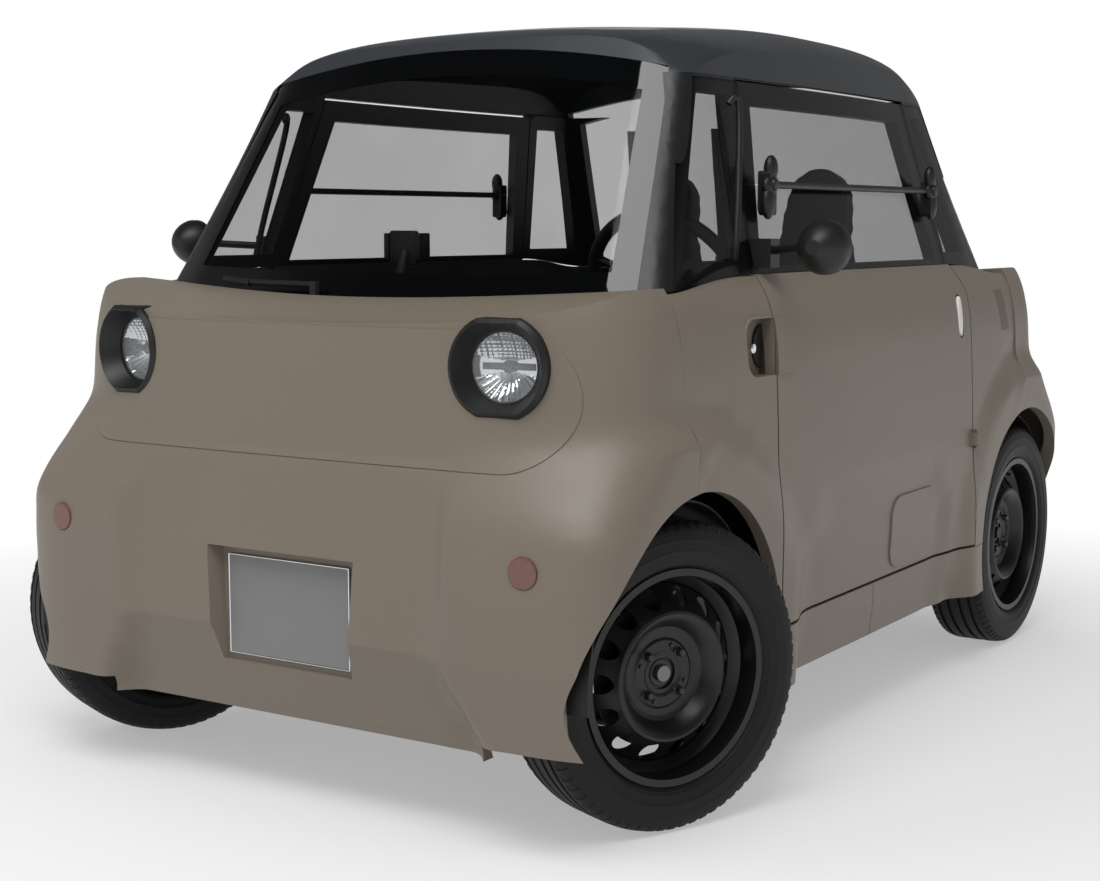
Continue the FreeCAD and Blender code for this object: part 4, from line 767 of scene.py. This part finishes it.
def swell(piece):
    # stuffing blows the pad up a little, and no point moves further than the cap
    before = [vertex.co.copy() for vertex in piece.data.vertices]
    makeActive(piece)
    cloth = piece.modifiers.new("cloth", "CLOTH")
    cloth.settings.use_pressure = True
    cloth.settings.uniform_pressure_force = seatValues["pressure"]
    cloth.settings.effector_weights.gravity = 0.0
    cloth.point_cache.frame_start = 1
    cloth.point_cache.frame_end = seatValues["frames"]
    for step in range(1, seatValues["frames"] + 1):
        bpy.context.scene.frame_set(step)
    bpy.ops.object.modifier_apply(modifier=cloth.name)
    bpy.context.scene.frame_set(1)
    for vertex, old in zip(piece.data.vertices, before):
        move = vertex.co - old
        if move.length > seatValues["cap"]:
            vertex.co = old + move.normalized() * seatValues["cap"]


def sewChannels(piece):
    # sewn lines that pull the cover in: one near each side, and three across both back and cushion
    lean = radians(seatValues["leanDeg"])
    middle, rear = seatValues["driver"]

    def dent(far):
        return exp(-(far / seatValues["channelWidth"]) ** 2)

    for vertex in piece.data.vertices:
        u = vertex.co.x - middle
        v = vertex.co.y - rear
        w = vertex.co.z - seatValues["base"]
        up = w * cos(lean) + v * sin(lean)
        pull = dent(abs(u) - seatValues["sideChannel"]) if up < seatValues["headStart"] else 0.0
        if abs(u) < seatValues["crossHalf"]:
            if w > seatValues["cushionTop"]:
                across = [dent(up - place) for place in seatValues["backChannels"]]
            else:
                across = [dent(v - place) for place in seatValues["cushionChannels"]]
            pull = max([pull] + across)
        vertex.co -= vertex.normal * seatValues["channel"] * pull


def makeSeats():
    piece = mergedCopy("seat_driver", "seat_driver_pad")
    addModifier(piece, "REMESH", mode="VOXEL", voxel_size=seatValues["voxel"])
    bpy.ops.object.mode_set(mode="EDIT")
    bpy.ops.mesh.select_all(action="SELECT")
    bpy.ops.transform.shrink_fatten(value=-seatValues["shrink"])
    bpy.ops.mesh.vertices_smooth(factor=0.5, repeat=6)
    bpy.ops.object.mode_set(mode="OBJECT")
    swell(piece)
    sewChannels(piece)
    addModifier(piece, "SUBSURF", levels=1, render_levels=1)
    smooth(piece, 60.0)
    step = Vector(seatValues["passenger"]) - Vector(seatValues["driver"])
    other = copyOf(piece, "seat_passenger_pad", Matrix.Translation((step.x, step.y, 0)))
    for pad, node in ((piece, "seat_driver"), (other, "seat_passenger")):
        dress(pad, seatPaint, "seat_cover", "car", node)


makeSeats()
print("seats done")


insideValues = {"dashTop": 0.893, "cradle": (-0.135, -0.655), "gripStep": 0.040, "slots": 8,
                "slotStart": -0.50, "slotStep": 0.045, "slotLength": 0.034, "slotY": -0.82,
                "stopPad": (0.245, 0.045), "goPad": (0.335, 0.030), "pedalFoot": 0.300, "pedalTop": 0.372,
                "belt": (-0.215, 0.245), "beltStep": 0.245, "beltWidth": 0.046, "beltThickness": 0.002,
                "buckleHalf": 0.026}


def makeCradle():
    # phone holder on the dashboard: a foot, a leaning stem, a back plate and two grips
    x, y = insideValues["cradle"]
    z = insideValues["dashTop"]
    pieces = [boxPiece("foot", (x - 0.045, y - 0.03, z), (x + 0.045, y + 0.035, z + 0.014), 0.004),
              rodPiece("stem", (x, y, z + 0.01), (x + 0.012, y + 0.02, z + 0.115), 0.011, 20, 0.002),
              boxPiece("plate", (x - 0.030, y + 0.018, z + 0.085), (x + 0.040, y + 0.030, z + 0.155), 0.005)]
    for side in (-1, 1):
        mid = x + 0.005 + side * insideValues["gripStep"]
        pieces.append(boxPiece("grip", (mid - 0.006, y + 0.014, z + 0.095),
                               (mid + 0.006, y + 0.052, z + 0.150), 0.003))
    return joinPieces("phoneHolder", pieces)


def makeDashTrim():
    # a switch pod with its screen behind the wheel, the edge of the tray, and air slots
    z = insideValues["dashTop"]
    pieces = [boxPiece("pod", (0.215, -0.66, z - 0.002), (0.385, -0.56, z + 0.032), 0.012, 4),
              boxPiece("screen", (0.235, -0.562, z - 0.001), (0.365, -0.556, z + 0.026), 0.002),
              boxPiece("trayEdge", (-0.56, -0.66, z - 0.003), (0.16, -0.648, z + 0.010), 0.003)]
    y = insideValues["slotY"]
    for i in range(insideValues["slots"]):
        x = insideValues["slotStart"] + insideValues["slotStep"] * i
        pieces.append(boxPiece("slot", (x, y, z - 0.002),
                               (x + insideValues["slotLength"], y + 0.008, z + 0.003), 0.001))
    return joinPieces("dashTrim", pieces)


def makePedals():
    # two pads on levers that hang from the bulkhead
    foot, top = insideValues["pedalFoot"], insideValues["pedalTop"]
    pieces = []
    for x, half in (insideValues["stopPad"], insideValues["goPad"]):
        pieces.append(boxPiece("pad", (x - half, -0.652, foot), (x + half, -0.640, top), 0.004))
        pieces.append(rodPiece("lever", (x, -0.650, top - 0.012), (x, -0.7185, 0.520), 0.007, 12))
    return joinPieces("pedals", pieces)


def makeBelt(name, shift):
    # webbing that stands behind the seat, and its pale buckle
    x, y = insideValues["belt"]
    x += shift
    half = insideValues["buckleHalf"]
    strap = strapPiece(name, [(x - 0.05, y + 0.29, 1.300), (x - 0.03, y + 0.27, 1.180), (x, y + 0.245, 0.980),
                              (x, y + 0.24, 0.900)], insideValues["beltWidth"], insideValues["beltThickness"])
    dress(strap, beltPaint, "inner_plastic", "car")
    buckle = boxPiece(name + "Buckle", (x - half, y + 0.225, 0.925), (x + half, y + 0.243, 0.985), 0.005)
    dress(buckle, chromePaint, "inner_plastic", "car")


for piece in (makeCradle(), makeDashTrim(), makePedals()):
    smooth(piece, 34.0)
    dress(piece, blackPaint, "inner_plastic", "car")
makeBelt("beltPassenger", 0.0)
makeBelt("beltDriver", insideValues["beltStep"])
print("inside done")


# small outside pieces

trimValues = {"doorMid": -0.025, "recess": (0.6398, -0.5485, 0.836), "recessReach": (0.033, 0.041),
              "recessDeep": 0.004, "lock": (0.0, -0.626, 0.836), "marker": (0.6625, 0.430, 0.850),
              "markerReach": (0.0145, 0.046), "markerDeep": 0.009, "markerTilt": -0.10, "barX": 0.5967,
              "barFront": -0.4395, "barRear": 0.3895, "barZ": 1.136, "lobeDeep": 0.013, "knobRadius": 0.0125,
              "mirror": (0.775, -0.575, 1.020), "railRadius": 0.007, "plateZ": 0.367, "plateY": -1.1533,
              "plateHalf": 0.1415, "plateHalfTall": 0.092, "rimRadius": 0.0016}


def halfTurn():
    middle = Matrix.Translation((0, trimValues["doorMid"], 0))
    return middle @ Matrix.Rotation(pi, 4, "Z") @ middle.inverted()


def ovalPiece(name, centre, reach, thickness, tilt=0.0):
    # flat oval plate that faces +x, with a rounded edge
    clearSelection()
    bpy.ops.mesh.primitive_cylinder_add(vertices=64, radius=1.0, depth=1.0)
    piece = bpy.context.object
    piece.name = name
    spread = Matrix.Diagonal((thickness, reach[0], reach[1], 1))
    piece.matrix_world = (Matrix.Translation(centre) @ Matrix.Rotation(tilt, 4, "Y") @ spread @
                          Matrix.Rotation(pi / 2, 4, "Y"))
    applyPlace(piece)
    addModifier(piece, "BEVEL", width=thickness * 0.35, segments=3, limit_method="ANGLE")
    smooth(piece, 34.0)
    return piece


def makeRecessShadePlate():
    # painted shade: a flat black half oval on the recess floor that stands for the dark mouth behind the
    # door's edge
    centre = trimValues["recess"]
    piece = ovalPiece("shade_plate", centre, trimValues["recessReach"], trimValues["recessDeep"])
    makeActive(piece)
    bpy.ops.object.mode_set(mode="EDIT")
    bpy.ops.mesh.select_all(action="SELECT")
    bpy.ops.mesh.bisect(plane_co=(0, centre[1], 0), plane_no=(0, 1, 0), use_fill=True, clear_outer=True)
    bpy.ops.object.mode_set(mode="OBJECT")
    return piece


def makeLock():
    # a barrel with a raised key slot
    barrel = turnedPiece("lockBarrel", [(0.6480, 0.0), (0.6480, 0.0088), (0.6640, 0.0088), (0.6650, 0.0080),
                                        (0.6650, 0.0062), (0.6660, 0.0056), (0.6660, 0.0)], 32)
    slot = boxPiece("keySlot", (0.6655, -0.0010, -0.0042), (0.6668, 0.0010, 0.0042))
    piece = joinPieces("lock", [barrel, slot])
    piece.data.transform(Matrix.Translation(trimValues["lock"]))
    smooth(piece, 34.0)
    return piece


def makeClamp(y, lean):
    # black clamp at one end of the window bar: three rounded lobes and a knob
    x, z = trimValues["barX"], trimValues["barZ"]
    pieces = []
    for dz, dy, tall, wide in ((0.030, 0.004 * lean, 0.026, 0.017), (-0.034, -0.006 * lean, 0.032, 0.019),
                               (-0.002, 0.0, 0.020, 0.024)):
        clearSelection()
        bpy.ops.mesh.primitive_uv_sphere_add(segments=32, ring_count=16, radius=1.0)
        lobe = bpy.context.object
        spread = Matrix.Diagonal((trimValues["lobeDeep"], wide, tall, 1))
        lobe.matrix_world = Matrix.Translation((x + 0.004, y + dy, z + dz)) @ spread
        applyPlace(lobe)
        pieces.append(lobe)
    pieces.append(rodPiece("knob", (x - 0.002, y, z), (x + 0.019, y, z), trimValues["knobRadius"], 28, 0.003))
    piece = joinPieces("clamp", pieces)
    smooth(piece, 40.0)
    return piece


def makeMirrorFace():
    piece = turnedPiece("face", [(0.0125, 0.0), (0.0125, 0.0445), (0.0145, 0.0440), (0.0155, 0.030),
                                 (0.0158, 0.0)], 64)
    piece.data.transform(Matrix.Translation(trimValues["mirror"]) @ Matrix.Rotation(pi / 2, 4, "Z"))
    smooth(piece, 40.0)
    return piece


def makeQuarterRail():
    # curved rail inside the front quarter glass
    points = [(0.548, -0.512, 1.285), (0.556, -0.500, 1.305), (0.560, -0.488, 1.285), (0.576, -0.520, 1.160),
              (0.588, -0.548, 1.060), (0.592, -0.566, 0.992)]
    return pathPiece("rail", points, trimValues["railRadius"])


def makePlateRim():
    # thin bright rods along the four edges of the front plate
    y, z = trimValues["plateY"], trimValues["plateZ"]
    half, tall = trimValues["plateHalf"], trimValues["plateHalfTall"]
    corners = [(-half, -tall), (half, -tall), (half, tall), (-half, tall)]
    bars = []
    for (x0, z0), (x1, z1) in zip(corners, corners[1:] + corners[:1]):
        bars.append(rodPiece("rimBar", (x0, y, z + z0), (x1, y, z + z1), trimValues["rimRadius"], 10))
    piece = joinPieces("plate_rim_front", bars)
    smooth(piece, 40.0)
    return piece


# the half oval in each handle recess is painted shade
recessShadeMaster = makeRecessShadePlate()
lockMaster = makeLock()
ovalMaster = ovalPiece("oval", trimValues["marker"], trimValues["markerReach"], trimValues["markerDeep"],
                       trimValues["markerTilt"])
clampMaster = joinPieces("clamps", [makeClamp(trimValues["barFront"], 1),
                                    makeClamp(trimValues["barRear"], -1)])
faceMaster = makeMirrorFace()
railMaster = makeQuarterRail()
still = Matrix.Identity(4)
for side, turned, mirrored in (("left", still, still), ("right", halfTurn(), mirrorX())):
    # the doors are alike by a half turn, and what hangs on the bars and mirrors is alike by mirroring
    door = "door_" + side
    for master, name, place, paint, slot, body in (
            # the black half oval in each handle recess is painted shade, not a real opening
            (recessShadeMaster, "recess_%s_hole", turned, innerAndShadePaint, "inner_plastic", "car"),
            (lockMaster, "lock_%s", turned, chromePaint, "cast_housing", "car"),
            (ovalMaster, "marker_oval_%s", turned, whitePaint, "marker_lens", door),
            (clampMaster, "bar_clamps_%s", mirrored, blackPaint, "black_plastic", door),
            (faceMaster, "mirror_face_%s", mirrored, mirrorPaint, "lamp_lens", door),
            (railMaster, "quarter_rail_%s", mirrored, blackPaint, "inner_plastic", "car")):
        dress(copyOf(master, name % side, place), paint, slot, body)
for master in (recessShadeMaster, lockMaster, ovalMaster, clampMaster, faceMaster, railMaster):
    bpy.data.objects.remove(master)
plateRim = makePlateRim()
dress(plateRim, chromePaint, "plate_grey", "car")
dress(copyOf(plateRim, "plate_rim_rear", mirrorY()), chromePaint, "plate_grey", "car")
print("small pieces done")


# running gear keeps its nodes

for paint, nodes in ((steelPaint, ("chassis_frame", "front_suspension", "rear_suspension", "battery_box")),
                     (castPaint, ("drive_motor", "knuckle_left", "knuckle_right"))):
    for node in nodes:
        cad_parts[node].data.materials.clear()
        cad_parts[node].data.materials.append(paint)


# floor and light

stageValues = {"floorSize": 60.0, "floorShade": 0.78, "whiteNear": 0.38, "nearEdge": 1.2, "farEdge": 2.7,
               "worldLight": 0.50, "glossLow": 0.34, "glossHigh": 0.02, "fadeStart": 0.30, "fadeEnd": 0.70,
               "keyPlace": (0.9, -3.2, 5.1), "keyAim": (0, -0.3, 0.6), "keySize": (3.4, 2.8),
               "keyPower": 185.0, "fillPlace": (-3.5, -3.5, 3.2), "fillAim": (0, 0, 0.7),
               "fillSize": (3.0, 3.0), "fillPower": 26.0}


def floorPaint():
    # pale near the car, where it keeps the shadow, and plain white further out
    paint = Paint("paleFloor")
    x, y, _ = paint.axes()
    fine = paint.noise(30.0)
    shade = (stageValues["floorShade"],) * 3
    paint.bump(fine, 0.02, 0.001)
    paint.set(colour=paint.mix(fine, shade, scaled(shade, 0.99)), roughness=fine * 0.05 + 0.85, specular=0.1)
    far = (x * x + y * y) ** 0.5
    spread = paint.clamped(far, stageValues["nearEdge"], stageValues["farEdge"])
    rays = paint.add("ShaderNodeLightPath").socket.node.outputs
    kinds = [Wire(paint, rays["Is %s Ray" % kind]) for kind in ("Camera", "Glossy", "Transmission")]
    seen = (kinds[0] + kinds[1] + kinds[2]).worked("MINIMUM", 1.0)
    near = stageValues["whiteNear"]
    share = (spread * (1.0 - near) + near) * seen
    white = paint.add("ShaderNodeEmission", {}, {"Color": (1.0, 1.0, 1.0), "Strength": 1.0})
    mixed = paint.add("ShaderNodeMixShader", {}, {0: share})
    paint.links.new(paint.shader.outputs[0], mixed.socket.node.inputs[1])
    paint.links.new(white.socket, mixed.socket.node.inputs[2])
    paint.links.new(mixed.socket, paint.output.inputs["Surface"])
    return paint.material


def makeWorld():
    # even light, a white background, and for gloss a bright low band that fades out overhead
    world = bpy.data.worlds.new("studio")
    world.use_nodes = True
    tree = world.node_tree
    tree.nodes.clear()
    output = tree.nodes.new("ShaderNodeOutputWorld")
    rays = tree.nodes.new("ShaderNodeLightPath")
    shades = []
    for strength in (stageValues["worldLight"], stageValues["glossLow"], 1.0):
        background = tree.nodes.new("ShaderNodeBackground")
        background.inputs["Color"].default_value = (1.0, 1.0, 1.0, 1)
        background.inputs["Strength"].default_value = strength
        shades.append(background)
    light, gloss, white = shades
    way = tree.nodes.new("ShaderNodeTexCoord")
    parts = tree.nodes.new("ShaderNodeSeparateXYZ")
    tree.links.new(way.outputs["Generated"], parts.inputs[0])
    fade = tree.nodes.new("ShaderNodeMapRange")
    fade.interpolation_type = "SMOOTHSTEP"
    for name, value in (("From Min", "fadeStart"), ("From Max", "fadeEnd"), ("To Min", "glossLow"),
                        ("To Max", "glossHigh")):
        fade.inputs[name].default_value = stageValues[value]
    tree.links.new(parts.outputs[2], fade.inputs["Value"])
    tree.links.new(fade.outputs[0], gloss.inputs["Strength"])
    first = tree.nodes.new("ShaderNodeMixShader")
    tree.links.new(rays.outputs["Is Glossy Ray"], first.inputs[0])
    tree.links.new(light.outputs[0], first.inputs[1])
    tree.links.new(gloss.outputs[0], first.inputs[2])
    seen = tree.nodes.new("ShaderNodeMath")
    seen.operation = "MAXIMUM"
    tree.links.new(rays.outputs["Is Camera Ray"], seen.inputs[0])
    tree.links.new(rays.outputs["Is Transmission Ray"], seen.inputs[1])
    second = tree.nodes.new("ShaderNodeMixShader")
    tree.links.new(seen.outputs[0], second.inputs[0])
    tree.links.new(first.outputs[0], second.inputs[1])
    tree.links.new(white.outputs[0], second.inputs[2])
    tree.links.new(second.outputs[0], output.inputs["Surface"])
    bpy.context.scene.world = world


def areaLight(name, shine):
    place = Vector(stageValues[name + "Place"])
    lamp = bpy.data.lights.new(name + "Light", "AREA")
    lamp.shape = "RECTANGLE"
    lamp.size, lamp.size_y = stageValues[name + "Size"]
    lamp.energy = stageValues[name + "Power"]
    holder = bpy.data.objects.new(name + "Light", lamp)
    bpy.context.scene.collection.objects.link(holder)
    holder.location = place
    way = Vector(stageValues[name + "Aim"]) - place
    holder.rotation_euler = way.to_track_quat("-Z", "Y").to_euler()
    holder.visible_glossy = shine


clearSelection()
bpy.ops.mesh.primitive_plane_add(size=stageValues["floorSize"], location=(0, 0, 0))
floor = bpy.context.object
floor.name = "floor"
floor.data.materials.append(floorPaint())
makeWorld()
areaLight("key", True)
areaLight("fill", False)
print("stage done")
